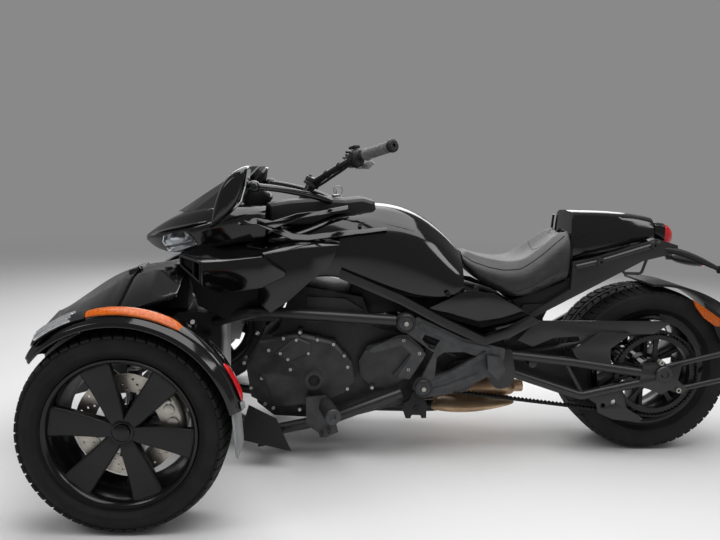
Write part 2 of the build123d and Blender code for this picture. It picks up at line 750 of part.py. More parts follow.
screen_sections = [
    # height, middle station, side station, side half width
    (830, 0, 142, 184),
    (994, 240, 292, 105),
]
screen_thickness = 8.0
screen_fifths = (-1.0, -0.7, -0.3, 0.3, 0.7, 1.0)
with BuildPart() as windscreen:
    for height, middle, side_station, half in screen_sections:
        front_edge = [
            (middle + (side_station - middle) * across**2, across * half) for across in screen_fifths
        ]
        rear_edge = [(station + screen_thickness, y) for station, y in reversed(front_edge)]
        with BuildSketch(plan(height)):
            Polygon(*front_edge, *rear_edge, align=None)
    loft(ruled=True)
    add(cowl_shape, mode=Mode.SUBTRACT)
with BuildPart() as screen_kept:
    add(windscreen.part.solids().sort_by(SortBy.VOLUME)[-1])
write("windscreen", screen_kept.part)

console_outline = [
    (331, 790), (331, 868), (402, 882), (504, 892), (589, 888), (650, 896), (690, 886),
    (700, 840), (600, 800),
]
steer_axis = (sin(radians(steer_rake)), 0, cos(radians(steer_rake)))
tank_sections = [
    (331, [(0, 752), (90, 750), (140, 735), (165, 690), (160, 640), (0, 640)]),
    (560, [(0, 862), (110, 852), (160, 832), (195, 740), (186, 652), (0, 652)]),
    (740, [(0, 886), (115, 868), (168, 818), (205, 700), (189, 600), (0, 600)]),
    (860, [(0, 852), (110, 828), (165, 782), (205, 680), (189, 560), (0, 560)]),
    (1005, [(0, 722), (90, 706), (130, 676), (175, 640), (184, 600), (0, 600)]),
]
with BuildPart() as tank_cover:
    add(body_loft(tank_sections, ruled=True))
write("tank_cover", tank_cover.part)

with BuildPart() as console:
    add(middle_slab(console_outline, 135, 10))
    add(drum((245, 0, 860), (0.55, 0, 0.83), 62, 70))
    add(tank_cover.part, mode=Mode.SUBTRACT)
    add(cowl_shape, mode=Mode.SUBTRACT)
    socket = Plane(origin=at(steer_axis_station, 0, steer_axis_height), z_dir=steer_axis)
    with BuildSketch(socket.offset(-60)):
        Circle(stem_radius + pin_clearance)
    extrude(amount=120, mode=Mode.SUBTRACT)
write("console", console.part)

# Side intakes: a wedge on each side, with a slatted mouth in its front face
intake_sections = [
    # station, inner side, outer side, low height, high height
    (49, 150, 222, 676, 713),
    (139, 150, 312, 600, 742),
    (328, 170, 330, 560, 729),
    (402, 170, 300, 600, 660),
]
intake_skin, intake_slots = 9.0, 4


def intake_body(skin):
    with BuildPart() as made:
        for station, inner, outer, low, high in intake_sections:
            with BuildSketch(section(station)):
                Polygon(
                    (-inner, low + skin), (skin - outer, low + 6 + skin),
                    (skin - outer, high - 8 - skin), (-inner, high - skin), align=None,
                )
        loft(ruled=True)
    return made.part


def mouth_place(across, down):
    """A place in the mouth's outline, from its front top corner."""
    top, bottom = 703 - 24 * across, 672 - 46 * across
    return 58 + 74 * across, top + (bottom - top) * down


with BuildPart() as side_intakes:
    add(intake_body(0))
    for slot in range(intake_slots):
        above, below = slot / intake_slots, (slot + 0.7) / intake_slots
        add(slab([mouth_place(0, above), mouth_place(1, above), mouth_place(1, below),
                  mouth_place(0, below)], 140, 340), mode=Mode.SUBTRACT)
    add(intake_body(intake_skin))
    mirror(about=Plane.XZ)
    add(cowl_shape, mode=Mode.SUBTRACT)
    add(tank_cover.part, mode=Mode.SUBTRACT)
write("side_intakes", side_intakes.part)

with BuildPart() as side_panels:
    add(slab([(300, 700), (446, 752), (574, 757), (539, 665), (490, 632), (412, 561), (353, 520),
              (300, 560)], 150, 290))
    add(slab([(862, 524), (1010, 598), (1100, 590), (1180, 552), (1215, 528), (1238, 512),
              (1165, 468), (1080, 438), (930, 506)], 160, 200))
    # the forked trim along the console: a stem in front, one arm up and one down the tank's side
    add(slab([(240, 802), (300, 806), (373, 776), (417, 758), (470, 758), (590, 776), (733, 796),
              (733, 808), (590, 790), (470, 774), (420, 776), (388, 790), (440, 826), (503, 838),
              (503, 850), (430, 840), (350, 812), (300, 824), (240, 822)], 120, 206))
    mirror(about=Plane.XZ)
    for other in (cowl_shape, tank_cover.part, side_intakes.part, frame_tubes.part,
                  console.part):
        add(other, mode=Mode.SUBTRACT)
write("side_panels", side_panels.part)

seat_sections = [
    (1006, [(0, 738), (60, 734), (95, 712), (100, 690), (92, 680), (0, 680)]),
    (1070, [(0, 708), (80, 704), (135, 676), (150, 650), (140, 618), (0, 618)]),
    (1180, [(0, 690), (90, 690), (140, 662), (168, 620), (155, 562), (0, 562)]),
    (1290, [(0, 748), (80, 752), (130, 722), (160, 660), (150, 598), (0, 598)]),
    (1385, [(0, 812), (80, 818), (126, 806), (144, 740), (140, 642), (0, 642)]),
]
with BuildPart() as seat:
    add(body_loft(seat_sections, ruled=True))
write("seat", seat.part)

tail_sections = [
    (1394, [(0, 872), (70, 868), (108, 855), (116, 800), (110, 712), (0, 705)]),
    (1550, [(0, 874), (75, 868), (103, 850), (108, 790), (100, 745), (0, 738)]),
    (1700, [(0, 858), (60, 852), (85, 838), (88, 805), (80, 788), (0, 782)]),
]
with BuildPart() as tail_cowl:
    add(body_loft(tail_sections))
write("tail_cowl", tail_cowl.part)

# Rack bosses: a threaded boss at each end of the grab rail, on both sides
rack_stations = {1479: 702, 1664: 764}
rail_inner_y, rail_outer_y = 112.0, 134.0
rail_y = (rail_inner_y + rail_outer_y) / 2
boss_length, boss_radius = 32.0, 14.0
rack_bore_radius, rack_bore_depth = 4.0, 22.0
with BuildPart() as rack_bosses:
    for station, height in rack_stations.items():
        add(drum((station, -rail_outer_y, height), (0, -1, 0), boss_radius, boss_length))
        boss_end = at(station, -rail_outer_y - boss_length, height)
        with BuildSketch(Plane(origin=boss_end, z_dir=(0, 1, 0))):
            Circle(rack_bore_radius)
        extrude(amount=rack_bore_depth, mode=Mode.SUBTRACT)
    mirror(about=Plane.XZ)
write("rack_bosses", rack_bosses.part)

with BuildPart() as tail_frame:
    add(slab([(1165, 400), (1283, 505), (1640, 706), (1760, 738), (1760, 764), (1690, 784),
              (1392, 686), (1390, 600), (1283, 531), (1160, 440)], rail_inner_y, rail_outer_y))
    add(tube([(1400, -142, 680), (1479, -152, 702), (1664, -152, 764), (1690, -140, 773)], 9))
    add(tube([(1568, -rail_y, 690), (1578, -rail_y, 660), (1642, -rail_y, 660),
              (1660, -rail_y, 720)], 5, 14))
    for station, height in rack_stations.items():
        boss_root = (station, -rail_outer_y, height)
        add(drum(boss_root, (0, -1, 0), boss_radius, boss_length), mode=Mode.SUBTRACT)
    mirror(about=Plane.XZ)
    add(tail_cowl.part, mode=Mode.SUBTRACT)
    add(swingarm.part, mode=Mode.SUBTRACT)
write("tail_frame", tail_frame.part)

with BuildPart() as seat_base:
    add(middle_slab([(1185, 552), (1215, 528), (1283, 520), (1390, 592), (1640, 716), (1700, 745),
                     (1700, 770), (1550, 726), (1395, 694), (1393, 634), (1290, 590)], 112))
    add(seat.part, mode=Mode.SUBTRACT)
    add(tail_cowl.part, mode=Mode.SUBTRACT)
write("seat_base", seat_base.part)

with BuildPart() as rear_shock:
    foot, top = at(*shock_foot), at(*shock_top)
    along = (top - foot).normalized()
    damper = Plane(origin=foot, z_dir=along)
    for offset, radius, length in (
        (0, 20, 46), (40, 23, 110), (38, 34, 8), (150, 34, 8), (150, 12, 40),
    ):
        with BuildSketch(damper.offset(offset)):
            Circle(radius)
        extrude(amount=length)
    for turn in range(5):
        with BuildSketch(damper.offset(54 + turn * 19)):
            Circle(31)
        extrude(amount=10)
    add(swingarm.part, mode=Mode.SUBTRACT)
    add(seat_base.part, mode=Mode.SUBTRACT)
write("rear_shock", rear_shock.part)

with BuildPart() as rear_lamps:
    add(tube([(1720, -120, 745), (1892, -182, 682), (1996, -200, 668)], 10, 40))
    with BuildSketch(section(1985)):
        with Locations((-202, 668)):
            Ellipse(34, 20)
    with BuildSketch(section(2060)):
        with Locations((-206, 664)):
            Ellipse(24, 14)
    loft()
    mirror(about=Plane.XZ)
    add(tail_frame.part, mode=Mode.SUBTRACT)
    add(middle_slab([(1700.5, 838), (1756, 831), (1778, 802), (1768, 756), (1749, 748),
                     (1700.5, 782)], 78, 8))
write("rear_lamps", rear_lamps.part)

fender_y = 122.0
with BuildPart() as rear_fender:
    with BuildSketch(side_view):
        with BuildLine():
            ThreePointArc((1690, 622), (1870, 596), (2066, 452))
            Line((2066, 452), (2058, 447))
            ThreePointArc((2058, 447), (1866, 588), (1690, 614))
            Line((1690, 614), (1690, 622))
        make_face()
    extrude(amount=fender_y, both=True)
    with BuildSketch(side_view.offset(fender_y)):
        Polygon((1880, 560), (2056, 450), (1990, 404), (1960, 404), align=None)
    extrude(amount=6)
    mirror(about=Plane.XZ)
write("rear_fender", rear_fender.part)

# Four struts carry the plate holder, and it carries the fender's rear end
with BuildPart() as plate_holder:
    add(tube([(1735, -arm_y, 335), (2000, -168, 404), (2160, -36, 442)], 10, 60))
    add(tube([(1795, -arm_y, 256), (2000, -168, 306), (2165, -36, 424)], 10, 60))
    mirror(about=Plane.XZ)
    add(middle_slab([(2140, 400), (2205, 400), (2205, 460), (2140, 460)], 50))
    add(middle_slab([(2204, 335), (2212, 335), (2212, 525), (2204, 525)], 95))
    add(middle_slab([(2050, 440), (2145, 425), (2145, 450), (2060, 458)], 40))
    with BuildSketch(section(2230)):
        with Locations((0, plate_height)):
            with GridLocations(plate_hole_spacing_y, plate_hole_spacing_z, 2, 2):
                Circle(plate_hole_radius)
    extrude(amount=-60, mode=Mode.SUBTRACT)
    add(swingarm.part, mode=Mode.SUBTRACT)
    add(rear_fender.part, mode=Mode.SUBTRACT)
write("plate_holder", plate_holder.part)

with BuildPart() as footpegs:
    add(slab([(474, 226), (476, 133), (541, 84), (585, 106), (560, 205), (540, 232)], 228, 240))
    add(drum((540, -238, 200), (0.25, -1, -0.05), 22, 100))
    add(slab([(1085, 380), (1134, 372), (1150, 330), (1127, 292), (1090, 330)], 214, 232))
    for other in (frame_tubes.part, engine_covers.part, castings_clear.part):
        add(other, mode=Mode.SUBTRACT)
    mirror(about=Plane.XZ)
    # the foot brake's pedal on the right
    add(drum((560, 240, 140), (0, 1, 0), 13, 44))
    add(tube([(560, 270, 140), (470, 270, 228), (440, 270, 268)], 7, 30))
    add(tube([(444, 262, 262), (444, 322, 262)], 11))
write("footpegs", footpegs.part)

with BuildPart() as splash_flaps:
    add(slab([(289, 219), (379, 174), (430, 62), (256, 102)], 300, 304))
    add(slab([(320, 75), (400, 90), (400, 116), (320, 104)], 205, 302))
    mirror(about=Plane.XZ)
    add(frame_tubes.part, mode=Mode.SUBTRACT)
write("splash_flaps", splash_flaps.part)

with BuildPart() as mirrors:
    add(slab([(281, 998), (290, 992), (268, 880), (171, 795), (206, 937)], 275, 400))
    add(tube([(286, -300, 930), (503, -160, 899), (540, -125, 880)], 11, 60))
    mirror(about=Plane.XZ)
    add(console.part, mode=Mode.SUBTRACT)
write("mirrors", mirrors.part)

# Handlebar -----------------------------------------------------------------------------------------

with BuildPart() as handlebar:
    for s in sides.values():
        add(tube([(474, 0, 943), (478, s * 62, 943), (600, s * 235, 1022), (640, s * 285, 1037),
                  (716, s * 410, 1064)], 11, [20, 60, 30]))
    axis_foot = at(steer_axis_station, 0, steer_axis_height)
    stem_plane = Plane(origin=axis_foot, z_dir=steer_axis)
    with BuildSketch(stem_plane.offset(-55)):
        Circle(stem_radius)
    extrude(amount=120)
    with BuildSketch(stem_plane.offset(40)):
        RectangleRounded(56, 150, 14)
    extrude(amount=28)
write("handlebar", handlebar.part)

with BuildPart() as controls:
    for s in sides.values():
        inner_point, outer_point = at(648, s * 298, 1040), at(716, s * 410, 1064)
        along = (outer_point - inner_point).normalized()
        with BuildSketch(Plane(origin=inner_point, z_dir=along)):
            Circle(17)
        extrude(amount=(outer_point - inner_point).length + 14)
        pod = Plane(origin=at(598, s * 232, 1021), x_dir=(1, 0, 0),
                    z_dir=at(640, s * 285, 1037) - at(600, s * 235, 1022))
        with BuildSketch(pod):
            RectangleRounded(62, 70, 14)
        extrude(amount=52)
        add(drum((588, s * 232, 1040), (0, 0, 1), 30, 59))
    add(handlebar.part, mode=Mode.SUBTRACT)
write("controls", controls.part)
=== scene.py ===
import json
import math

import bpy
from mathutils import Matrix, Vector

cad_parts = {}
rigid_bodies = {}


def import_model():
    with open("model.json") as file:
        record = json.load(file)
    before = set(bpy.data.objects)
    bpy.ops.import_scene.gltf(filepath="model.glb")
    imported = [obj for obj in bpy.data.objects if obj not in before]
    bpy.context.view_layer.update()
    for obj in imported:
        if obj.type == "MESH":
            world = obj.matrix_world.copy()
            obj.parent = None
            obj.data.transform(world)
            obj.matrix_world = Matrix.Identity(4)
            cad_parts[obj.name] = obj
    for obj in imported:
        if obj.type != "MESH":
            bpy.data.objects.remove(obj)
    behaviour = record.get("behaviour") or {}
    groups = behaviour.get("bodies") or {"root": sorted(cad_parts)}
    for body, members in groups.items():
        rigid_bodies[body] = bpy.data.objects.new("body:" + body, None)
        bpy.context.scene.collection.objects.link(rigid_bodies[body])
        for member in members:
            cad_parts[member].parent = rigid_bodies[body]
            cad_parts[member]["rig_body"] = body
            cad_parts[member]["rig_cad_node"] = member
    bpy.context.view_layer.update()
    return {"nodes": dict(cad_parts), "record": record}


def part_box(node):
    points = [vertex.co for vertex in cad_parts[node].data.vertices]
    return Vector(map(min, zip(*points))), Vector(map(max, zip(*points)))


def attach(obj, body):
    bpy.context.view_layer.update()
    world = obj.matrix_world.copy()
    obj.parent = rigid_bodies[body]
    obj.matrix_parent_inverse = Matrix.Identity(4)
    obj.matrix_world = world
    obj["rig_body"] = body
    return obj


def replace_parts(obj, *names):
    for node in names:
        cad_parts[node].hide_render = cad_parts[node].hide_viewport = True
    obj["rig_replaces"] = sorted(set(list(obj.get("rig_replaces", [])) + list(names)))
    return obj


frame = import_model()
nodes = frame["nodes"]

# Stations are metres behind the front axle, sides are metres to the right,
# heights are metres above the floor.
frontTyreLow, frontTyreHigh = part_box("front_left_tyre")
axleX = (frontTyreLow[0] + frontTyreHigh[0]) / 2
rearTyreLow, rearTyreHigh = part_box("rear_tyre")
rearAxle = (rearTyreLow[0] + rearTyreHigh[0]) / 2 - axleX
frontHub = (frontTyreLow[2] + frontTyreHigh[2]) / 2
rearHub = (rearTyreLow[2] + rearTyreHigh[2]) / 2
frontTrack = abs(frontTyreLow[1] + frontTyreHigh[1]) / 2


def spot(station, side, height):
    return Vector((axleX + station, side, height))


# finishes: one function for each, gathered in a dictionary by the record's slot names
def newFinish(name, colour, roughness, **sockets):
    finish = bpy.data.materials.new(name)
    finish.use_nodes = True
    shader = finish.node_tree.nodes["Principled BSDF"]
    shader.inputs["Base Color"].default_value = (*colour, 1)
    shader.inputs["Roughness"].default_value = roughness
    for socket, value in sockets.items():
        shader.inputs[socket.replace("_", " ")].default_value = value
    return finish


def addNode(finish, kind, **values):
    node = finish.node_tree.nodes.new(kind)
    for socket, value in values.items():
        node.inputs[socket].default_value = value
    return node


def link(finish, source, socket, target, into):
    finish.node_tree.links.new(source.outputs[socket], target.inputs[into])


def objectPattern(finish, kind, scale, stretch=(1, 1, 1), **values):
    # a texture node read in the piece's own coordinates
    where = addNode(finish, "ShaderNodeTexCoord")
    fit = addNode(finish, "ShaderNodeMapping")
    fit.inputs["Scale"].default_value = stretch
    pattern = addNode(finish, kind, Scale=scale, **values)
    link(finish, where, "Object", fit, "Vector")
    link(finish, fit, "Vector", pattern, "Vector")
    return pattern


def varyRoughness(finish, scale, low, high):
    pattern = objectPattern(finish, "ShaderNodeTexNoise", scale, Detail=4)
    spread = finish.node_tree.nodes.new("ShaderNodeMapRange")
    spread.inputs["To Min"].default_value = low
    spread.inputs["To Max"].default_value = high
    link(finish, pattern, 0, spread, "Value")
    link(finish, spread, 0, finish.node_tree.nodes["Principled BSDF"], "Roughness")


def varyColour(finish, scale, dark, light, stretch=(1, 1, 1)):
    pattern = objectPattern(finish, "ShaderNodeTexNoise", scale, stretch, Detail=6)
    ramp = finish.node_tree.nodes.new("ShaderNodeValToRGB")
    ramp.color_ramp.elements[0].position = 0.35
    ramp.color_ramp.elements[1].position = 0.65
    ramp.color_ramp.elements[0].color = (*dark, 1)
    ramp.color_ramp.elements[1].color = (*light, 1)
    link(finish, pattern, 0, ramp, "Fac")
    link(finish, ramp, "Color", finish.node_tree.nodes["Principled BSDF"], "Base Color")


def addGrain(finish, kind, scale, strength, depth, stretch=(1, 1, 1)):
    pattern = objectPattern(finish, kind, scale, stretch)
    bump = addNode(finish, "ShaderNodeBump", Strength=strength, Distance=depth)
    link(finish, pattern, 0, bump, "Height")
    link(finish, bump, "Normal", finish.node_tree.nodes["Principled BSDF"], "Normal")


def glossBlack():
    finish = newFinish("glossBlackPaint", (0.003, 0.003, 0.0035), 0.09, Specular_IOR_Level=0.5)
    varyRoughness(finish, 9, 0.06, 0.12)
    addGrain(finish, "ShaderNodeTexNoise", 420, 0.05, 0.0004)
    return finish


def frameBlack():
    finish = newFinish("satinFramePaint", (0.016, 0.016, 0.0168), 0.34, Specular_IOR_Level=0.45)
    varyRoughness(finish, 30, 0.28, 0.4)
    addGrain(finish, "ShaderNodeTexNoise", 600, 0.15, 0.0005)
    return finish


def castGrey():
    finish = newFinish("castAluminium", (0.055, 0.056, 0.058), 0.42, Metallic=0.4, Specular_IOR_Level=0.4)
    varyColour(finish, 40, (0.045, 0.046, 0.048), (0.066, 0.067, 0.07))
    varyRoughness(finish, 60, 0.38, 0.52)
    addGrain(finish, "ShaderNodeTexNoise", 900, 0.3, 0.0006)
    return finish


def engineDark():
    finish = newFinish("engineCoating", (0.03, 0.03, 0.0315), 0.42, Metallic=0.25, Specular_IOR_Level=0.4)
    varyColour(finish, 25, (0.023, 0.023, 0.0245), (0.038, 0.038, 0.04))
    varyRoughness(finish, 50, 0.34, 0.5)
    addGrain(finish, "ShaderNodeTexNoise", 800, 0.35, 0.0006)
    return finish


def blackPlastic():
    finish = newFinish("mouldedBlackPlastic", (0.008, 0.008, 0.0085), 0.5, Specular_IOR_Level=0.3)
    varyRoughness(finish, 40, 0.42, 0.56)
    addGrain(finish, "ShaderNodeTexVoronoi", 700, 0.25, 0.0005)
    return finish


def tyreRubber():
    finish = newFinish("tyreRubber", (0.009, 0.009, 0.009), 0.75, Specular_IOR_Level=0.25)
    varyColour(finish, 18, (0.007, 0.007, 0.007), (0.012, 0.012, 0.0115))
    varyRoughness(finish, 70, 0.62, 0.82)
    addGrain(finish, "ShaderNodeTexNoise", 500, 0.3, 0.0008)
    return finish


def wheelBlack():
    finish = newFinish("wheelGloss", (0.004, 0.004, 0.0045), 0.18, Specular_IOR_Level=0.35)
    varyRoughness(finish, 20, 0.12, 0.22)
    addGrain(finish, "ShaderNodeTexNoise", 500, 0.06, 0.0004)
    return finish


def spokeSatin():
    finish = newFinish("spokeSatin", (0.009, 0.009, 0.0095), 0.42, Specular_IOR_Level=0.35)
    varyRoughness(finish, 40, 0.36, 0.5)
    addGrain(finish, "ShaderNodeTexNoise", 900, 0.12, 0.0004)
    return finish


def forgedSteel():
    finish = newFinish("forgedSteel", (0.35, 0.35, 0.36), 0.32, Metallic=1)
    varyRoughness(finish, 80, 0.25, 0.42)
    addGrain(finish, "ShaderNodeTexNoise", 900, 0.15, 0.0004)
    return finish


def brakeSteel():
    finish = newFinish("brakeSteel", (0.5, 0.46, 0.4), 0.35, Metallic=0.9)
    varyColour(finish, 30, (0.42, 0.38, 0.32), (0.58, 0.55, 0.5))
    varyRoughness(finish, 90, 0.28, 0.45)
    addGrain(finish, "ShaderNodeTexNoise", 700, 0.12, 0.0004)
    return finish


def heatTinted():
    finish = newFinish("heatTintedSteel", (0.58, 0.4, 0.25), 0.42, Metallic=0.55)
    varyColour(finish, 7, (0.34, 0.21, 0.12), (0.8, 0.58, 0.37), stretch=(1, 3, 3))
    varyRoughness(finish, 60, 0.34, 0.5)
    addGrain(finish, "ShaderNodeTexNoise", 300, 0.12, 0.0005, stretch=(1, 8, 8))
    return finish


def seatLeather():
    finish = newFinish("seatLeather", (0.017, 0.017, 0.0175), 0.4)
    varyColour(finish, 30, (0.013, 0.013, 0.0135), (0.021, 0.021, 0.0215))
    varyRoughness(finish, 90, 0.38, 0.52)
    addGrain(finish, "ShaderNodeTexVoronoi", 420, 0.35, 0.0007)
    return finish


def gripRubber():
    finish = newFinish("gripRubber", (0.012, 0.012, 0.012), 0.66, Specular_IOR_Level=0.3)
    varyRoughness(finish, 60, 0.6, 0.76)
    addGrain(finish, "ShaderNodeTexVoronoi", 500, 0.4, 0.0007)
    return finish


def gripGrey():
    finish = newFinish("gripGrey", (0.1, 0.102, 0.1), 0.62)
    varyColour(finish, 60, (0.08, 0.082, 0.08), (0.125, 0.127, 0.125))
    addGrain(finish, "ShaderNodeTexVoronoi", 500, 0.4, 0.0006)
    return finish


def clearGlass():
    finish = newFinish("lampGlass", (0.93, 0.95, 0.97), 0.03, IOR=1.5, Transmission_Weight=1.0)
    varyRoughness(finish, 12, 0.02, 0.05)
    return finish


def smokedScreen():
    finish = newFinish("smokedScreen", (0.008, 0.008, 0.009), 0.06, Transmission_Weight=0.2)
    varyRoughness(finish, 12, 0.04, 0.08)
    return finish


def brightReflector():
    finish = newFinish("brightReflector", (0.82, 0.84, 0.86), 0.12, Metallic=1)
    varyRoughness(finish, 60, 0.08, 0.18)
    addGrain(finish, "ShaderNodeTexVoronoi", 90, 0.2, 0.001)
    return finish


def greyLens():
    finish = newFinish("greyLens", (0.32, 0.33, 0.34), 0.25, Transmission_Weight=0.3)
    varyColour(finish, 30, (0.26, 0.27, 0.28), (0.38, 0.39, 0.4))
    addGrain(finish, "ShaderNodeTexVoronoi", 240, 0.3, 0.001)
    return finish


def castSilver():
    finish = newFinish("castSilver", (0.5, 0.48, 0.43), 0.38, Metallic=0.85)
    varyColour(finish, 40, (0.42, 0.4, 0.36), (0.56, 0.54, 0.49))
    varyRoughness(finish, 70, 0.32, 0.46)
    addGrain(finish, "ShaderNodeTexNoise", 700, 0.15, 0.0004)
    return finish


def greyFlap():
    finish = newFinish("greyFlap", (0.24, 0.245, 0.25), 0.5)
    varyColour(finish, 14, (0.19, 0.195, 0.2), (0.29, 0.295, 0.3))
    addGrain(finish, "ShaderNodeTexNoise", 400, 0.15, 0.0005)
    return finish


def redLens():
    finish = newFinish("redLens", (0.5, 0.006, 0.01), 0.12, Coat_Weight=0.3)
    varyColour(finish, 60, (0.4, 0.004, 0.007), (0.6, 0.01, 0.015))
    addGrain(finish, "ShaderNodeTexVoronoi", 260, 0.3, 0.001)
    return finish


def amberLens():
    finish = newFinish("amberLens", (0.5, 0.09, 0.0015), 0.2, Specular_IOR_Level=0.3)
    varyColour(finish, 170, (0.4, 0.062, 0.001), (0.6, 0.125, 0.002))
    addGrain(finish, "ShaderNodeTexVoronoi", 260, 0.3, 0.001)
    return finish


finishes = {
    "gloss_black": glossBlack(),
    "frame_black": frameBlack(),
    "cast_grey": castGrey(),
    "engine_dark": engineDark(),
    "spring_black": frameBlack(),
    "belt_rubber": gripRubber(),
    "heat_tinted_steel": heatTinted(),
    "black_plastic": blackPlastic(),
    "lamp_glass": clearGlass(),
    "smoked_screen": smokedScreen(),
    "seat_cover": seatLeather(),
    "red_lens": redLens(),
    "amber_lens": amberLens(),
    "grip_rubber": gripRubber(),
    "forged_steel": forgedSteel(),
    "tyre_rubber": tyreRubber(),
    "wheel_black": wheelBlack(),
    "brakeSteel": brakeSteel(),
    "spokeSatin": spokeSatin(),
    "brightReflector": brightReflector(),
    "greyLens": greyLens(),
    "castSilver": castSilver(),
    "gripGrey": gripGrey(),
    "greyFlap": greyFlap(),
}
# finishes of small parts are listed beside the record's slot names
print("finishes mixed:", len(finishes))


# floor, soft lamps and camera
def fadeToBackdrop(paint, studio):
    # the floor thins out with distance, so it meets the backdrop without a line
    place = addNode(paint, "ShaderNodeTexCoord")
    reach = addNode(paint, "ShaderNodeVectorMath")
    reach.operation = "LENGTH"
    link(paint, place, "Object", reach, 0)
    fade = addNode(paint, "ShaderNodeMapRange")
    fade.interpolation_type = "SMOOTHSTEP"
    fade.inputs["From Min"].default_value = studio["fadeFrom"]
    fade.inputs["From Max"].default_value = studio["fadeTo"]
    link(paint, reach, "Value", fade, "Value")
    clear = addNode(paint, "ShaderNodeBsdfTransparent")
    mix = addNode(paint, "ShaderNodeMixShader")
    link(paint, fade, "Result", mix, "Fac")
    link(paint, paint.node_tree.nodes["Principled BSDF"], "BSDF", mix, 1)
    link(paint, clear, "BSDF", mix, 2)
    link(paint, mix, "Shader", paint.node_tree.nodes["Material Output"], "Surface")


def buildStudio():
    studio = {
        "floorSize": 26, "floorGrey": 0.7, "worldGrey": 0.26, "backdropGrey": 0.25, "fadeFrom": 3.2,
        "fadeTo": 8.5,
        "overheadPower": 132, "fillPower": 16, "farPower": 58,
    }
    bpy.ops.object.select_all(action="DESELECT")
    bpy.ops.mesh.primitive_plane_add(size=studio["floorSize"], location=(0, 0, 0))
    floor = bpy.context.object
    floor.name = "studioFloor"
    paint = newFinish("paleFloor", (studio["floorGrey"],) * 3, 0.6)
    varyRoughness(paint, 3, 0.55, 0.7)
    fadeToBackdrop(paint, studio)
    floor.data.materials.append(paint)
    world = bpy.data.worlds.new("softStudio")
    bpy.context.scene.world = world
    world.use_nodes = True
    tree = world.node_tree
    room = tree.nodes["Background"]
    room.inputs["Color"].default_value = (studio["worldGrey"],) * 3 + (1,)
    backdrop = tree.nodes.new("ShaderNodeBackground")
    backdrop.inputs["Color"].default_value = (studio["backdropGrey"],) * 3 + (1,)
    path = tree.nodes.new("ShaderNodeLightPath")
    seen = tree.nodes.new("ShaderNodeMath")
    seen.operation = "MAXIMUM"
    seenToo = tree.nodes.new("ShaderNodeMath")
    seenToo.operation = "MAXIMUM"
    mix = tree.nodes.new("ShaderNodeMixShader")
    tree.links.new(path.outputs["Is Camera Ray"], seen.inputs[0])
    tree.links.new(path.outputs["Is Glossy Ray"], seen.inputs[1])
    tree.links.new(seen.outputs[0], seenToo.inputs[0])
    tree.links.new(path.outputs["Is Transmission Ray"], seenToo.inputs[1])
    tree.links.new(seenToo.outputs[0], mix.inputs["Fac"])
    tree.links.new(room.outputs[0], mix.inputs[1])
    tree.links.new(backdrop.outputs[0], mix.inputs[2])
    tree.links.new(mix.outputs[0], tree.nodes["World Output"].inputs["Surface"])
    lamps = [
        ("overheadSoftbox", (-0.1, -0.05, 3.0), (4.2, 2.9), studio["overheadPower"]),
        ("frontSoftbox", (-2.6, -1.7, 2.3), (1.0, 1.0), studio["fillPower"]),
        ("rearSoftbox", (2.6, -1.3, 2.6), (1.0, 1.0), studio["fillPower"]),
        ("farSoftbox", (0.2, 3.3, 2.2), (4.4, 1.7), studio["farPower"]),
    ]
    for name, place, size, power in lamps:
        bpy.ops.object.light_add(type="AREA", location=place)
        lamp = bpy.context.object
        lamp.name = name
        lamp.data.shape = "RECTANGLE"
        lamp.data.size, lamp.data.size_y = size
        lamp.data.energy = power
        lamp.rotation_euler = Vector(place).to_track_quat("Z", "Y").to_euler()


def setCamera():
    view = {"place": (-0.3528, -2.46, 0.9893), "pan": -0.04692, "tilt": 0.14467, "roll": 0.03122,
        "lens": 34.09}
    bpy.ops.object.camera_add(location=view["place"])
    camera = bpy.context.object
    turn = Matrix.Rotation(view["pan"], 3, "Z") @ Matrix.Rotation(math.pi / 2 - view["tilt"], 3, "X")
    camera.rotation_euler = (turn @ Matrix.Rotation(view["roll"], 3, "Z")).to_euler()
    camera.data.lens = view["lens"]
    camera.data.sensor_width = 36
    bpy.context.scene.camera = camera
    bpy.context.scene.view_settings.view_transform = "Standard"


buildStudio()
setCamera()
print("studio and camera set")


# ways of shaping a piece
def onlySelect(*pieces):
    bpy.ops.object.select_all(action="DESELECT")
    for piece in pieces:
        piece.select_set(True)
    bpy.context.view_layer.objects.active = pieces[0]


def applyModifier(piece, kind, **settings):
    onlySelect(piece)
    bpy.ops.object.modifier_add(type=kind)
    modifier = piece.modifiers[-1]
    for setting, value in settings.items():
        setattr(modifier, setting, value)
    bpy.ops.object.modifier_apply(modifier=modifier.name)


def editAll(piece):
    onlySelect(piece)
    bpy.ops.object.mode_set(mode="EDIT")
    bpy.ops.mesh.select_all(action="SELECT")


def closeUp(piece, merge=0.0001):
    editAll(piece)
    bpy.ops.mesh.remove_doubles(threshold=merge)
    bpy.ops.mesh.normals_make_consistent(inside=False)
    bpy.ops.object.mode_set(mode="OBJECT")


def smooth(piece, angle=35):
    onlySelect(piece)
    bpy.ops.object.shade_smooth_by_angle(angle=math.radians(angle))


def softenEdges(piece, width, segments=2, angle=30):
    applyModifier(
        piece, "BEVEL", width=width, segments=segments, limit_method="ANGLE",
        angle_limit=math.radians(angle), harden_normals=False,
    )


def cutOutline(name, places, push, bevel=0.0):
    # a flat outline of places, pushed into a plate along one vector
    bpy.ops.object.select_all(action="DESELECT")
    bpy.ops.mesh.primitive_circle_add(vertices=len(places), radius=0.1, fill_type="NGON")
    piece = bpy.context.object
    piece.name = name
    for vertex, place in zip(piece.data.vertices, places):
        vertex.co = place
    editAll(piece)
    bpy.ops.mesh.extrude_region_move(TRANSFORM_OT_translate={"value": push})
    bpy.ops.object.mode_set(mode="OBJECT")
    closeUp(piece)
    if bevel:
        softenEdges(piece, bevel)
    smooth(piece)
    return piece


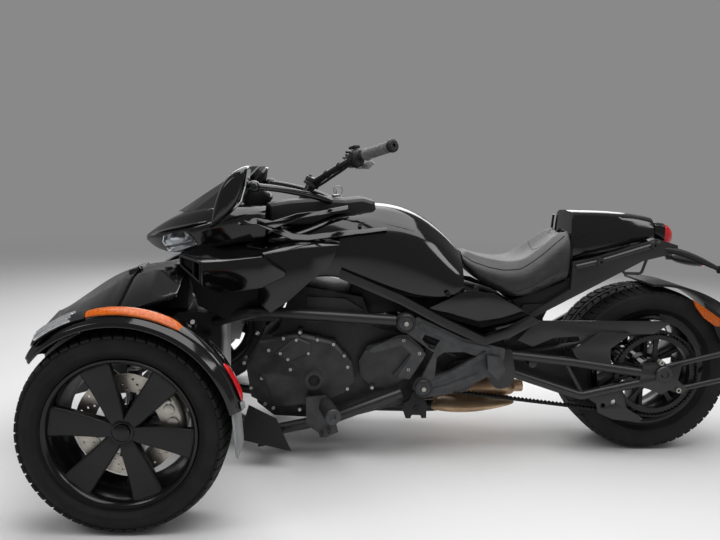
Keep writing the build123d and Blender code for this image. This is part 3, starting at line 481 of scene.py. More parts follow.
def stretchNet(name, rows, wrap=False):
    # a grid primitive pulled onto rows of places; wrap closes each row into a ring
    bpy.ops.object.select_all(action="DESELECT")
    columns = len(rows[0])
    bpy.ops.mesh.primitive_grid_add(x_subdivisions=columns - 1, y_subdivisions=len(rows) - 1)
    piece = bpy.context.object
    piece.name = name
    for vertex, place in zip(piece.data.vertices, [place for row in rows for place in row]):
        vertex.co = place
    if wrap:
        editAll(piece)
        bpy.ops.mesh.remove_doubles(threshold=0.00005)
        bpy.ops.mesh.select_all(action="SELECT")
        bpy.ops.mesh.normals_make_consistent(inside=False)
        bpy.ops.object.mode_set(mode="OBJECT")
    return piece


def creaseLines(piece, lines, sharpness):
    # keeps chosen lines crisp when the piece is subdivided
    def corner(place):
        return tuple(round(value, 5) for value in place)

    wanted = {frozenset((corner(a), corner(b))) for line in lines for a, b in zip(line, line[1:])}
    layer = piece.data.attributes.new("crease_edge", "FLOAT", "EDGE")
    for edge in piece.data.edges:
        ends = frozenset(corner(piece.data.vertices[index].co) for index in edge.vertices)
        layer.data[edge.index].value = sharpness if ends in wanted else 0


def loftRings(name, rings, levels=0, bevel=0.0, creased=None, sharpness=0.85):
    # a closed body through rings of places, its two ends filled; creased columns stay crisp
    piece = stretchNet(name, [list(ring) + [ring[0]] for ring in rings], wrap=True)
    editAll(piece)
    bpy.ops.mesh.select_all(action="DESELECT")
    bpy.ops.object.mode_set(mode="OBJECT")
    for end in (rings[0], rings[-1]):
        onlySelect(piece)
        for vertex in piece.data.vertices:
            vertex.select = any((vertex.co - Vector(place)).length < 0.00006 for place in end)
        bpy.ops.object.mode_set(mode="EDIT")
        bpy.ops.mesh.edge_face_add()
        bpy.ops.mesh.select_all(action="DESELECT")
        bpy.ops.object.mode_set(mode="OBJECT")
    closeUp(piece)
    if levels:
        lines = [[ring[column] for ring in rings] for column in creased or ()]
        ends = [list(ring) + [ring[0]] for ring in (rings[0], rings[-1])]
        creaseLines(piece, lines + ends, sharpness)
        applyModifier(piece, "SUBSURF", levels=levels, render_levels=levels)
    if bevel:
        softenEdges(piece, bevel)
    smooth(piece)
    return piece


def spinProfile(name, profile, centre, axis=(0, 1, 0), steps=96):
    # a profile of places swept a full turn round an axis
    bpy.ops.object.select_all(action="DESELECT")
    bpy.ops.mesh.primitive_circle_add(vertices=len(profile), radius=0.1, fill_type="NOTHING")
    piece = bpy.context.object
    piece.name = name
    for vertex, place in zip(piece.data.vertices, profile):
        vertex.co = place
    editAll(piece)
    bpy.ops.mesh.spin(steps=steps, angle=2 * math.pi, center=centre, axis=axis)
    bpy.ops.object.mode_set(mode="OBJECT")
    closeUp(piece, 0.00002)
    smooth(piece, 30)
    return piece


def spinCopies(piece, centre, axis, count):
    # repeats a piece's mesh round an axis
    editAll(piece)
    bpy.ops.mesh.spin(
        steps=count, angle=2 * math.pi, center=centre, axis=axis, dupli=True, use_auto_merge=False
    )
    bpy.ops.object.mode_set(mode="OBJECT")
    closeUp(piece, 0.00002)


def runPipe(name, places, radius, sides=6, order=3):
    # a round pipe along a smooth path
    bpy.ops.object.select_all(action="DESELECT")
    bpy.ops.curve.primitive_nurbs_path_add()
    path = bpy.context.object
    path.name = name
    spline = path.data.splines[0]
    spline.points.add(max(0, len(places) - len(spline.points)))
    while len(spline.points) > len(places):
        path.data.splines.clear()
        spline = path.data.splines.new("NURBS")
        spline.points.add(len(places) - 1)
    for point, place in zip(spline.points, places):
        point.co = (*place, 1)
    spline.order_u = order
    spline.use_endpoint_u = True
    path.data.resolution_u = 8
    path.data.bevel_depth = radius
    path.data.bevel_resolution = sides
    path.data.use_fill_caps = True
    onlySelect(path)
    bpy.ops.object.convert(target="MESH")
    closeUp(path, 0.00001)
    smooth(path, 40)
    return path


def panel(name, outline, depth, bevel=0.003, rise=0.0):
    # a panel from its outer outline of (station, height, side), so deep, its back raised by rise
    rings = [
        [spot(station, side + depth, height + rise) for station, height, side in outline],
        [spot(station, side, height) for station, height, side in outline],
    ]
    return loftRings(name, rings, bevel=bevel)


def scaledRing(ring, scale, shift=(0, 0, 0)):
    middle = sum((Vector(place) for place in ring), Vector()) / len(ring)
    return [middle + (Vector(place) - middle) * scale + Vector(shift) for place in ring]


def cutAway(piece, cutter):
    applyModifier(piece, "BOOLEAN", operation="DIFFERENCE", object=cutter, solver="EXACT")
    bpy.data.objects.remove(cutter)


def boltHead(name, centre, radius, height, way=(0, -1, 0), sides=24):
    # a chamfered round head whose face looks along one way, with a socket sunk in it
    bpy.ops.object.select_all(action="DESELECT")
    bpy.ops.mesh.primitive_cylinder_add(vertices=sides, radius=radius, depth=height)
    head = bpy.context.object
    head.name = name
    editAll(head)
    bpy.ops.mesh.select_all(action="DESELECT")
    bpy.ops.object.mode_set(mode="OBJECT")
    for face in head.data.polygons:
        face.select = face.normal.z > 0.9
    bpy.ops.object.mode_set(mode="EDIT")
    bpy.ops.mesh.inset(thickness=radius * 0.45)
    bpy.ops.mesh.extrude_region_move(TRANSFORM_OT_translate={"value": (0, 0, -height * 0.4)})
    bpy.ops.object.mode_set(mode="OBJECT")
    head.rotation_euler = Vector(way).to_track_quat("Z", "Y").to_euler()
    head.location = Vector(centre) + Vector(way).normalized() * height * 0.5
    placeAtOrigin(head)
    softenEdges(head, radius * 0.12, 2)
    smooth(head)
    return head


def refineNode(node, name, bevel=0.0015, segments=2, angle=30):
    # a merged copy of a CAD node with its flat faces joined and its edges eased
    onlySelect(nodes[node])
    bpy.ops.object.duplicate()
    piece = bpy.context.object
    piece.name = name
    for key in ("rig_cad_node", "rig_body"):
        if key in piece:
            del piece[key]
    onlySelect(piece)
    bpy.ops.object.parent_clear(type="CLEAR_KEEP_TRANSFORM")
    bpy.ops.object.transform_apply(location=True, rotation=True, scale=True)
    editAll(piece)
    bpy.ops.mesh.remove_doubles(threshold=0.00001)
    bpy.ops.mesh.dissolve_limited(angle_limit=math.radians(1.5))
    bpy.ops.object.mode_set(mode="OBJECT")
    if bevel:
        softenEdges(piece, bevel, segments, angle)
    smooth(piece, 30)
    return piece


def otherSide(piece, name):
    # a separate mirrored copy with its own mesh
    onlySelect(piece)
    bpy.ops.object.duplicate()
    twin = bpy.context.object
    twin.name = name
    if "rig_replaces" in twin:
        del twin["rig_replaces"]
    editAll(twin)
    bpy.ops.transform.resize(value=(1, -1, 1), center_override=(0, 0, 0))
    bpy.ops.mesh.normals_make_consistent(inside=False)
    bpy.ops.object.mode_set(mode="OBJECT")
    return twin


def joinPieces(name, pieces):
    onlySelect(*pieces)
    bpy.ops.object.join()
    piece = bpy.context.object
    piece.name = name
    return piece


def halfRing(station, places):
    # a whole cross section from its left half, listed from the top middle down
    left = [spot(station, -side, height) for side, height in places]
    return left + [spot(station, side, height) for side, height in reversed(places) if side > 0]


def loftSections(name, sections, levels=0, bevel=0.0, creased=(), sharpness=0.85):
    # cross sections of (station, half outline); each creased column is crisp on both sides
    rings = [halfRing(station, places) for station, places in sections]
    columns = [place for column in creased for place in (column, len(rings[0]) - column)]
    return loftRings(name, rings, levels, bevel, columns, sharpness)


def ovalRing(station, side, height, wide, tall, count):
    # an upright oval across the vehicle, so wide and tall each way from its middle
    turns = [2 * math.pi * number / count for number in range(count)]
    return [spot(station, side + wide * math.cos(turn), height + tall * math.sin(turn)) for turn in turns]


def placeAtOrigin(piece):
    onlySelect(piece)
    bpy.ops.object.transform_apply(location=True, rotation=True, scale=True)


def dress(piece, slot, body, *replaced):
    # finish, body and the CAD nodes that the piece stands for
    placeAtOrigin(piece)
    piece.data.materials.clear()
    piece.data.materials.append(finishes[slot])
    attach(piece, body)
    if replaced:
        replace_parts(piece, *replaced)
    return piece


def finishName(piece):
    return next(name for name, finish in finishes.items() if finish == piece.data.materials[0])


def bothSides(pieces, body="chassis"):
    for piece in pieces:
        dress(otherSide(piece, piece.name.replace("Left", "Right")), finishName(piece), body)


bodyOf = {node: body for body, carried in frame["record"]["behaviour"]["bodies"].items() for node in carried}


# wheels
def wheelSpot(wheel, radius, across, degrees=90):
    # across is outwards from the wheel's middle; 0 degrees points back, 90 up
    angle = math.radians(degrees)
    return spot(
        wheel["station"] + radius * math.cos(angle),
        wheel["side"] + wheel["outward"] * across,
        wheel["hub"] + radius * math.sin(angle),
    )


def sweepArc(name, wheel, profile, fromDegrees, toDegrees, steps, ends=(1, 1), bevel=0.0):
    # a closed profile of (radius, across) carried round a wheel's centre, drawn in at its two ends
    base = min(radius for radius, _ in profile)
    middle = sum(across for _, across in profile) / len(profile)
    rings = []
    for step in range(steps + 1):
        share = step / steps
        draw = 1 - (1 - ends[0]) * max(0, 1 - share * 4) ** 2 - (1 - ends[1]) * max(0, share * 4 - 3) ** 2
        degrees = fromDegrees + (toDegrees - fromDegrees) * share
        rings.append([
            wheelSpot(wheel, base + (radius - base) * draw, middle + (across - middle) * draw, degrees)
            for radius, across in profile
        ])
    return loftRings(name, rings, bevel=bevel)


def ringPlate(name, wheel, outline, inner, low, high):
    # a flat ring between two faces: outline gives the outer radius at each step round it
    count = len(outline)
    turns = [360 * step / count for step in range(count)]
    faces = []
    for radii, across in ((outline, low), (outline, high), ([inner] * count, high), ([inner] * count, low)):
        ring = [wheelSpot(wheel, radius, across, turn) for radius, turn in zip(radii, turns)]
        faces.append(ring + [ring[0]])
    piece = stretchNet(name, faces + [faces[0]], wrap=True)
    smooth(piece, 30)
    return piece


def wheelCentre(wheel):
    return spot(wheel["station"], wheel["side"], wheel["hub"])


def spinOnWheel(name, wheel, profile, steps):
    # a profile of (radius, across) turned round the wheel's axle
    places = [wheelSpot(wheel, radius, across) for radius, across in profile]
    return spinProfile(name, places, wheelCentre(wheel), steps=steps)


def crownDrop(across, half):
    # how far the tread falls away from the middle of the tyre
    share = abs(across) / half
    return 0.0015 * share**2 + 0.018 * max(0, share - 0.78) / 0.22 * max(0, share - 0.78) / 0.22


def makeTyre(name, wheel, body):
    tyre = {"blockPitches": 58, "grooveDepth": 0.006, "treadGap": 0.8, "skew": 2.2}
    half = wheel["width"] / 2
    crown = wheel["radius"] - tyre["grooveDepth"]
    bead = wheel["bead"]
    wall = [
        (bead, wheel["seat"] - 0.004), (bead + 0.012, wheel["seat"] + 0.002),
        (bead + 0.017, wheel["seat"] + 0.008),
        (bead + 0.022, wheel["seat"] + 0.007), (bead + 0.036, half - 0.002), (bead + 0.05, half),
        (bead + 0.053, half + 0.0001), (crown - 0.026, half - 0.002), (crown - 0.014, half - 0.006),
        (crown - 0.006, half - 0.014), (crown - 0.0015, half * 0.66),
    ]
    halfProfile = wall + [(crown, half * 0.3)]
    profile = halfProfile + [(radius, -across) for radius, across in reversed(halfProfile)]
    places = [wheelSpot(wheel, radius, across) for radius, across in profile]
    carcass = spinProfile(name, places, wheelCentre(wheel), steps=120)
    pitch = 360 / tyre["blockPitches"]
    blocks = []
    bands = [(-0.1, 0.1, 0, 0.97), (0.16, 0.5, 1, 0.8), (0.56, 0.95, -1, 0.82)]
    for low, high, lean, length in bands:
        for way in (-1, 1):
            if low < 0 and way < 0:
                continue
            edges = (low * half * way, high * half * way)
            corners = []
            for depth in (-tyre["grooveDepth"] - 0.002, 0):
                for across, turn in ((edges[0], -1), (edges[1], 1)):
                    lift = wheel["radius"] - crownDrop(across, half) + depth
                    slant = tyre["skew"] * lean * turn * 0.5
                    for step in (-0.5, 0.5):
                        degrees = 90 + pitch * length * step + slant + (pitch / 2 if way < 0 else 0)
                        corners.append(wheelSpot(wheel, lift, across, degrees))
            bpy.ops.object.select_all(action="DESELECT")
            bpy.ops.mesh.primitive_cube_add(size=0.02)
            block = bpy.context.object
            order = [0, 4, 2, 6, 1, 5, 3, 7]
            for vertex, corner in zip(block.data.vertices, [corners[i] for i in order]):
                vertex.co = corner
            block.location = (0, 0, 0)
            closeUp(block)
            softenEdges(block, 0.0012, 1)
            blocks.append(block)
    tread = joinPieces(name + "Tread", blocks)
    spinCopies(tread, wheelCentre(wheel), (0, 1, 0), tyre["blockPitches"])
    tyrePiece = joinPieces(name, [carcass, tread])
    smooth(tyrePiece, 30)
    return dress(tyrePiece, "tyre_rubber", body, wheel["tyreNode"])


def paddleRing(wheel, radius, halfWidth, outer, inner, degrees):
    # one section across a wheel spoke, its outer face slightly dished
    turn = math.radians(degrees)
    ring = []
    for along, across in (
        (-1, inner), (-1, outer - 0.004), (-0.86, outer), (0, outer - 0.002), (0.86, outer),
        (1, outer - 0.004), (1, inner), (0, inner),
    ):
        reach = along * halfWidth
        back = radius * math.cos(turn) - reach * math.sin(turn)
        up = radius * math.sin(turn) + reach * math.cos(turn)
        ring.append(spot(wheel["station"] + back, wheel["side"] + wheel["outward"] * across,
            wheel["hub"] + up))
    return ring


def makeFrontWheel(name, wheel, body):
    design = {
        "spokes": 6, "firstSpoke": -9,
        # radius, half width, outer face, inner face
        "spokeSections": [
            (0.026, 0.018, 0.05, 0.02), (0.05, 0.0235, 0.053, 0.02), (0.1, 0.0305, 0.049, 0.026),
            (0.15, 0.037, 0.051, 0.03), (0.178, 0.0412, 0.056, 0.036), (0.19, 0.043, 0.0585, 0.045),
        ],
    }
    rim = [
        (0.206, 0.071), (0.2045, 0.0725), (0.2, 0.0715), (0.196, 0.068), (0.191, 0.06), (0.186, 0.045),
        (0.179, 0.02), (0.171, -0.01), (0.17, -0.05), (0.178, -0.064), (0.196, -0.07), (0.206, -0.071),
        (0.206, -0.065), (0.193, -0.058), (0.186, -0.03), (0.186, 0.02), (0.193, 0.058), (0.206, 0.065),
    ]
    rimPiece = spinOnWheel(name, wheel, rim, 112)
    rings = [paddleRing(wheel, *section, design["firstSpoke"] * wheel["outward"] * -1)
        for section in design["spokeSections"]]
    spokes = loftRings(name + "Spokes", rings, bevel=0.0015)
    spinCopies(spokes, wheelCentre(wheel), (0, 1, 0), design["spokes"])
    hub = [
        (0, 0.057), (0.018, 0.057), (0.0225, 0.055), (0.0235, 0.0495), (0.026, 0.0495), (0.0265, 0.052),
        (0.031, 0.051), (0.033, 0.046), (0.036, 0.03), (0.052, 0.024), (0.056, 0.018), (0.056, -0.012),
        (0.04, -0.02), (0, -0.02),
    ]
    hubPiece = spinOnWheel(name + "Hub", wheel, hub, 64)
    smooth(spokes, 30)
    whole = joinPieces(name, [rimPiece, hubPiece])
    dress(spokes, "spokeSatin", body)
    return dress(whole, "wheel_black", body, wheel["wheelNode"])


def makeLugNuts(name, wheel, body, reach, count, across):
    centre = wheelSpot(wheel, reach, across, 90 - 360 / count / 2 - 9)
    bpy.ops.object.select_all(action="DESELECT")
    bpy.ops.mesh.primitive_cylinder_add(
        vertices=6, radius=0.0085, depth=0.014, location=centre, rotation=(math.pi / 2, 0, 0)
    )
    nut = bpy.context.object
    nut.name = name
    placeAtOrigin(nut)
    softenEdges(nut, 0.0015)
    spinCopies(nut, wheelCentre(wheel), (0, 1, 0), count)
    smooth(nut)
    return dress(nut, "forged_steel", body)


def makeBrakeDisc(name, wheel, body, across, outer, inner, holes):
    thick = 0.005
    profile = [(outer, across), (outer, across + thick), (inner, across + thick), (inner, across)]
    disc = spinOnWheel(name, wheel, profile, 96)
    cutters = []
    for row, lead in enumerate((0.25, 0.5, 0.75)):
        reach = inner + (outer - inner) * lead
        place = wheelSpot(wheel, reach, across + thick / 2, 90 + row * 360 / holes / 3)
        bpy.ops.object.select_all(action="DESELECT")
        bpy.ops.mesh.primitive_cylinder_add(
            vertices=12, radius=0.0035, depth=0.02, location=place, rotation=(math.pi / 2, 0, 0)
        )
        cutter = bpy.context.object
        placeAtOrigin(cutter)
        spinCopies(cutter, wheelCentre(wheel), (0, 1, 0), holes)
        cutters.append(cutter)
    drill = joinPieces("drill", cutters)
    applyModifier(disc, "BOOLEAN", operation="DIFFERENCE", object=drill, solver="EXACT")
    bpy.data.objects.remove(drill)
    carrierRings = []
    for radius, half, face in ((0.04, 0.012, 0.004), (0.07, 0.008, 0.003), (inner + 0.004, 0.009, 0.002)):
        carrierRings.append(paddleRing(wheel, radius, half, across + thick + face, across + 0.001, 20))
    carrier = loftRings(name + "Carrier", carrierRings, bevel=0.001)
    spinCopies(carrier, wheelCentre(wheel), (0, 1, 0), 6)
    smooth(disc, 30)
    dress(carrier, "wheel_black", body)
    return dress(disc, "brakeSteel", body)


def makeCaliper(name, wheel, body, profile, fromDegrees, toDegrees):
    # a body astride the disc, with two piston housings and the slide pins' heads on its outer face
    caliper = sweepArc(name, wheel, profile, fromDegrees, toDegrees, 8, bevel=0.002)
    outerFace = max(across for _, across in profile)
    middle = sum(radius for radius, _ in profile) / len(profile)
    parts = [caliper]
    for share, radius, reach, height in ((0.3, middle, 0.015, 0.006), (0.72, middle, 0.015, 0.006),
                                         (0.08, middle + 0.012, 0.006, 0.01),
                                         (0.93, middle + 0.012, 0.006, 0.01)):
        degrees = fromDegrees + (toDegrees - fromDegrees) * share
        bpy.ops.object.select_all(action="DESELECT")
        bpy.ops.mesh.primitive_cylinder_add(
            vertices=24, radius=reach, depth=height * 2, rotation=(math.pi / 2, 0, 0),
            location=wheelSpot(wheel, radius, outerFace, degrees),
        )
        boss = bpy.context.object
        placeAtOrigin(boss)
        softenEdges(boss, 0.0015)
        parts.append(boss)
    whole = joinPieces(name, parts)
    smooth(whole, 30)
    return dress(whole, "castSilver", body)


def makeRearWheel(name, wheel, body):
    design = {
        "pairs": 6, "spokeAway": 0.0135, "teeth": 69, "toothTip": 0.1455, "toothRoot": 0.1415,
        "ringInner": 0.127, "sprocketArms": 5, "sprocketSide": 0.142,
        # radius, half width, outer face, inner face
        "spokeSections": [
            (0.044, 0.008, 0.046, -0.03), (0.09, 0.0072, 0.04, -0.024), (0.14, 0.0075, 0.042, -0.024),
            (0.179, 0.01, 0.05, -0.03),
        ],
        "armSections": [
            (0.045, 0.014, 0.147, 0.137), (0.075, 0.0085, 0.146, 0.138), (0.105, 0.0085, 0.146, 0.138),
            (0.13, 0.013, 0.147, 0.137),
        ],
    }
    rim = [
        (0.206, 0.097), (0.2045, 0.099), (0.196, 0.099), (0.186, 0.096), (0.183, 0.088), (0.178, 0.066),
        (0.172, 0.03), (0.172, -0.03), (0.178, -0.066), (0.183, -0.088), (0.186, -0.096), (0.196, -0.099),
        (0.2045, -0.099), (0.206, -0.097), (0.206, -0.093), (0.193, -0.086), (0.186, -0.05),
        (0.186, 0.05), (0.193, 0.086), (0.206, 0.093),
    ]
    rimPiece = spinOnWheel(name, wheel, rim, 112)
    hub = [
        (0.0125, 0.155), (0.034, 0.155), (0.04, 0.151), (0.05, 0.149), (0.057, 0.146), (0.057, 0.137),
        (0.046, 0.132), (0.044, 0.06), (0.054, 0.05), (0.056, 0.01), (0.054, -0.03), (0.042, -0.045),
        (0.042, -0.112), (0.05, -0.118), (0.05, -0.128), (0.0125, -0.128),
    ]
    hubPiece = spinOnWheel(name + "Hub", wheel, hub, 64)
    beams = []
    for way in (-1, 1):
        rings = []
        for radius, half, outer, inner in design["spokeSections"]:
            ring = paddleRing(wheel, radius, half, outer, inner, 90)
            rings.append([place + Vector((way * design["spokeAway"], 0, 0)) for place in ring])
        beams.append(loftRings(name + "Beam", rings, bevel=0.0012))
    spokes = joinPieces(name + "Spokes", beams)
    spinCopies(spokes, wheelCentre(wheel), (0, 1, 0), design["pairs"])
    smooth(spokes, 30)
    tip, root = design["toothTip"], design["toothRoot"]
    teeth = [tip, tip, root, root] * design["teeth"]
    across = design["sprocketSide"]
    ring = ringPlate(name + "Sprocket", wheel, teeth, design["ringInner"], across - 0.013, across + 0.013)
    rings = [paddleRing(wheel, *section, 90) for section in design["armSections"]]
    arms = loftRings(name + "Arms", rings, bevel=0.001)
    spinCopies(arms, wheelCentre(wheel), (0, 1, 0), design["sprocketArms"])
    sprocket = joinPieces(name + "Sprocket", [ring, arms])
    smooth(sprocket, 30)
    whole = joinPieces(name, [rimPiece, hubPiece])
    dress(spokes, "spokeSatin", body)
    dress(sprocket, "spokeSatin", body)
    return dress(whole, "wheel_black", body, wheel["wheelNode"])


leftWheel = {
    "station": 0, "side": -frontTrack, "outward": -1, "hub": frontHub, "radius": 0.281, "width": 0.165,
    "bead": 0.192, "seat": 0.06, "tyreNode": "front_left_tyre", "wheelNode": "front_left_wheel",
}
rearWheel = {
    "station": rearAxle, "side": 0, "outward": -1, "hub": rearHub, "radius": 0.303, "width": 0.225,
    "bead": 0.192, "seat": 0.088, "tyreNode": "rear_tyre", "wheelNode": "rear_wheel",
}
makeTyre("frontLeftTyre", leftWheel, "front_wheel_left")
makeFrontWheel("frontLeftWheel", leftWheel, "front_wheel_left")
makeLugNuts("frontLeftNuts", leftWheel, "front_wheel_left", 0.043, 6, 0.032)
makeBrakeDisc("frontLeftDisc", leftWheel, "front_wheel_left", -0.012, 0.143, 0.09, 18)
makeTyre("rearTyre", rearWheel, "rear_wheel")
makeRearWheel("rearWheelRim", rearWheel, "rear_wheel")
makeBrakeDisc("rearDisc", rearWheel, "rear_wheel", -0.128, 0.132, 0.088, 18)
print("wheels built")


def copyToRight(prefix, body, replaced):
    # the right side's pieces are the left ones' mirror images
    for piece in [o for o in bpy.data.objects if o.name.startswith(prefix) and "Left" in o.name]:
        twin = otherSide(piece, piece.name.replace("Left", "Right"))
        dress(twin, finishName(piece), body, *replaced.get(piece.name, []))


copyToRight("frontLeft", "front_wheel_right", {
    "frontLeftTyre": ["front_right_tyre"], "frontLeftWheel": ["front_right_wheel"],
})


# fenders, which turn with the knuckles
def makeFender():
    fender = {"from": 12, "to": 141, "stayRadius": 0.007, "stayEnd": (0.17, -0.56, 0.545)}
    shell = [
        (0.3365, 0.05), (0.333, 0.066), (0.3255, 0.0745), (0.3215, 0.0745), (0.3085, 0.0915), (0.298, 0.0945),
        (0.2945, 0.0925), (0.2965, 0.0885), (0.309, 0.079), (0.318, 0.066), (0.3255, 0.045), (0.316, -0.03),
        (0.304, -0.075), (0.2945, -0.0865), (0.2975, -0.0905), (0.309, -0.079), (0.3225, -0.03),
        (0.333, 0.03),
    ]
    piece = sweepArc("fenderLeft", leftWheel, shell, fender["from"], fender["to"], 64, ends=(0.8, 0.55),
        bevel=0.0012)
    stays = [piece]
    back, side, high = fender["stayEnd"]
    for way in (-1, 1):
        stays.append(runPipe("fenderStay", [
            spot(0, -0.548, 0.34), spot(way * 0.03, -0.548, 0.37), spot(way * 0.09, -0.549, 0.42),
            spot(way * 0.14, -0.553, 0.5), spot(way * back, side, high),
            spot(way * back * 0.96, side - 0.02, high + 0.012),
        ], fender["stayRadius"]))
    boss = [(0, 0.104), (0.014, 0.104), (0.016, 0.102), (0.016, 0.092), (0, 0.092)]
    stays.append(spinProfile(
        "fenderBoss", [spot(0, -frontTrack + across, 0.34 + radius) for radius, across in boss],
        spot(0, -frontTrack, 0.34), steps=32,
    ))
    whole = joinPieces("fenderLeft", stays)
    dress(whole, "gloss_black", "knuckle_left", "fender_left")
    amber = sweepArc("fenderMarkerLeft", leftWheel, [
        (0.3355, 0.04), (0.34, 0.043), (0.3413, 0.05), (0.338, 0.066), (0.3285, 0.079), (0.3245, 0.0785),
        (0.324, 0.074), (0.33, 0.062), (0.332, 0.045),
    ], 57, 104, 40, ends=(0.3, 0.85), bevel=0.0008)
    dress(amber, "amber_lens", "knuckle_left", "fender_lamp_left")
    housing = sweepArc("fenderLampHousingLeft", leftWheel, [
        (0.333, 0.0), (0.3385, 0.006), (0.3405, 0.05), (0.335, 0.07), (0.326, 0.0815), (0.322, 0.079),
        (0.33, 0.05),
    ], 104.3, 134, 24, ends=(1, 0.35), bevel=0.0008)
    dress(housing, "black_plastic", "knuckle_left")
    glass = sweepArc("fenderLampGlassLeft", leftWheel, [
        (0.336, 0.008), (0.343, 0.013), (0.3438, 0.05), (0.3385, 0.07), (0.33, 0.083), (0.327, 0.08),
        (0.334, 0.05),
    ], 109.5, 132, 24, ends=(0.6, 0.3), bevel=0.0008)
    dress(glass, "greyLens", "knuckle_left")
    ribs = []
    for radius, across in ((0.3442, 0.022), (0.3442, 0.045), (0.3395, 0.0675), (0.3322, 0.0805)):
        ribs.append(sweepArc("fenderLampRib", leftWheel, [
            (radius, across - 0.0016), (radius + 0.0012, across), (radius, across + 0.0016),
            (radius - 0.006, across + 0.0016), (radius - 0.006, across - 0.0016),
        ], 110.5, 129, 18, ends=(0.8, 0.8)))
    dress(joinPieces("fenderLampRibsLeft", ribs), "brightReflector", "knuckle_left")
    red = sweepArc("fenderReflectorLeft", leftWheel, [
        (0.334, 0.046), (0.3395, 0.048), (0.3405, 0.055), (0.3375, 0.067), (0.333, 0.069), (0.33, 0.055),
    ], 17, 37, 20, ends=(0.5, 0.15), bevel=0.0008)
    dress(red, "red_lens", "knuckle_left")
    marker = sweepArc("fenderRearMarkerLeft", leftWheel, [
        (0.33, 0.045), (0.336, 0.048), (0.337, 0.056), (0.333, 0.069), (0.328, 0.071), (0.326, 0.055),
    ], 12.5, 16.6, 6, ends=(0.3, 0.8), bevel=0.0008)
    dress(marker, "greyLens", "knuckle_left")
    flap = {"top": 0.362, "low": 0.213, "station": 0.291, "lean": 0.1, "thick": 0.004}
    outline = [
        (-0.715, flap["top"]), (-0.727, flap["top"] - 0.02), (-0.729, 0.24), (-0.724, 0.222),
        (-0.71, flap["low"]),
        (-0.6, flap["low"]), (-0.588, 0.224), (-0.585, 0.24), (-0.585, flap["top"] - 0.02),
        (-0.6, flap["top"]),
    ]
    hanging = cutOutline("fenderFlapLeft", [
        spot(flap["station"] + (flap["top"] - height) * flap["lean"], side, height)
        for side, height in outline
    ], (flap["thick"], 0, 0), 0.001)
    dress(hanging, "greyFlap", "knuckle_left")


makeFender()
copyToRight("fender", "knuckle_right", {
    "fenderLeft": ["fender_right"], "fenderMarkerLeft": ["fender_lamp_right"],
})
makeCaliper("frontCaliperLeft", leftWheel, "knuckle_left", [
    (0.094, 0.017), (0.15, 0.017), (0.16, 0.01), (0.16, -0.034), (0.151, -0.041), (0.094, -0.041),
    (0.094, -0.0205), (0.147, -0.0205), (0.147, -0.0025), (0.094, -0.0025),
], -4, 36)
copyToRight("frontCaliper", "knuckle_right", {})
makeCaliper("rearCaliper", rearWheel, "chassis", [
    (0.092, -0.112), (0.145, -0.112), (0.152, -0.117), (0.152, -0.137), (0.145, -0.142), (0.092, -0.142),
    (0.092, -0.1355), (0.136, -0.1355), (0.136, -0.1195), (0.092, -0.1195),
], 150, 185)
print("fenders and brakes built")


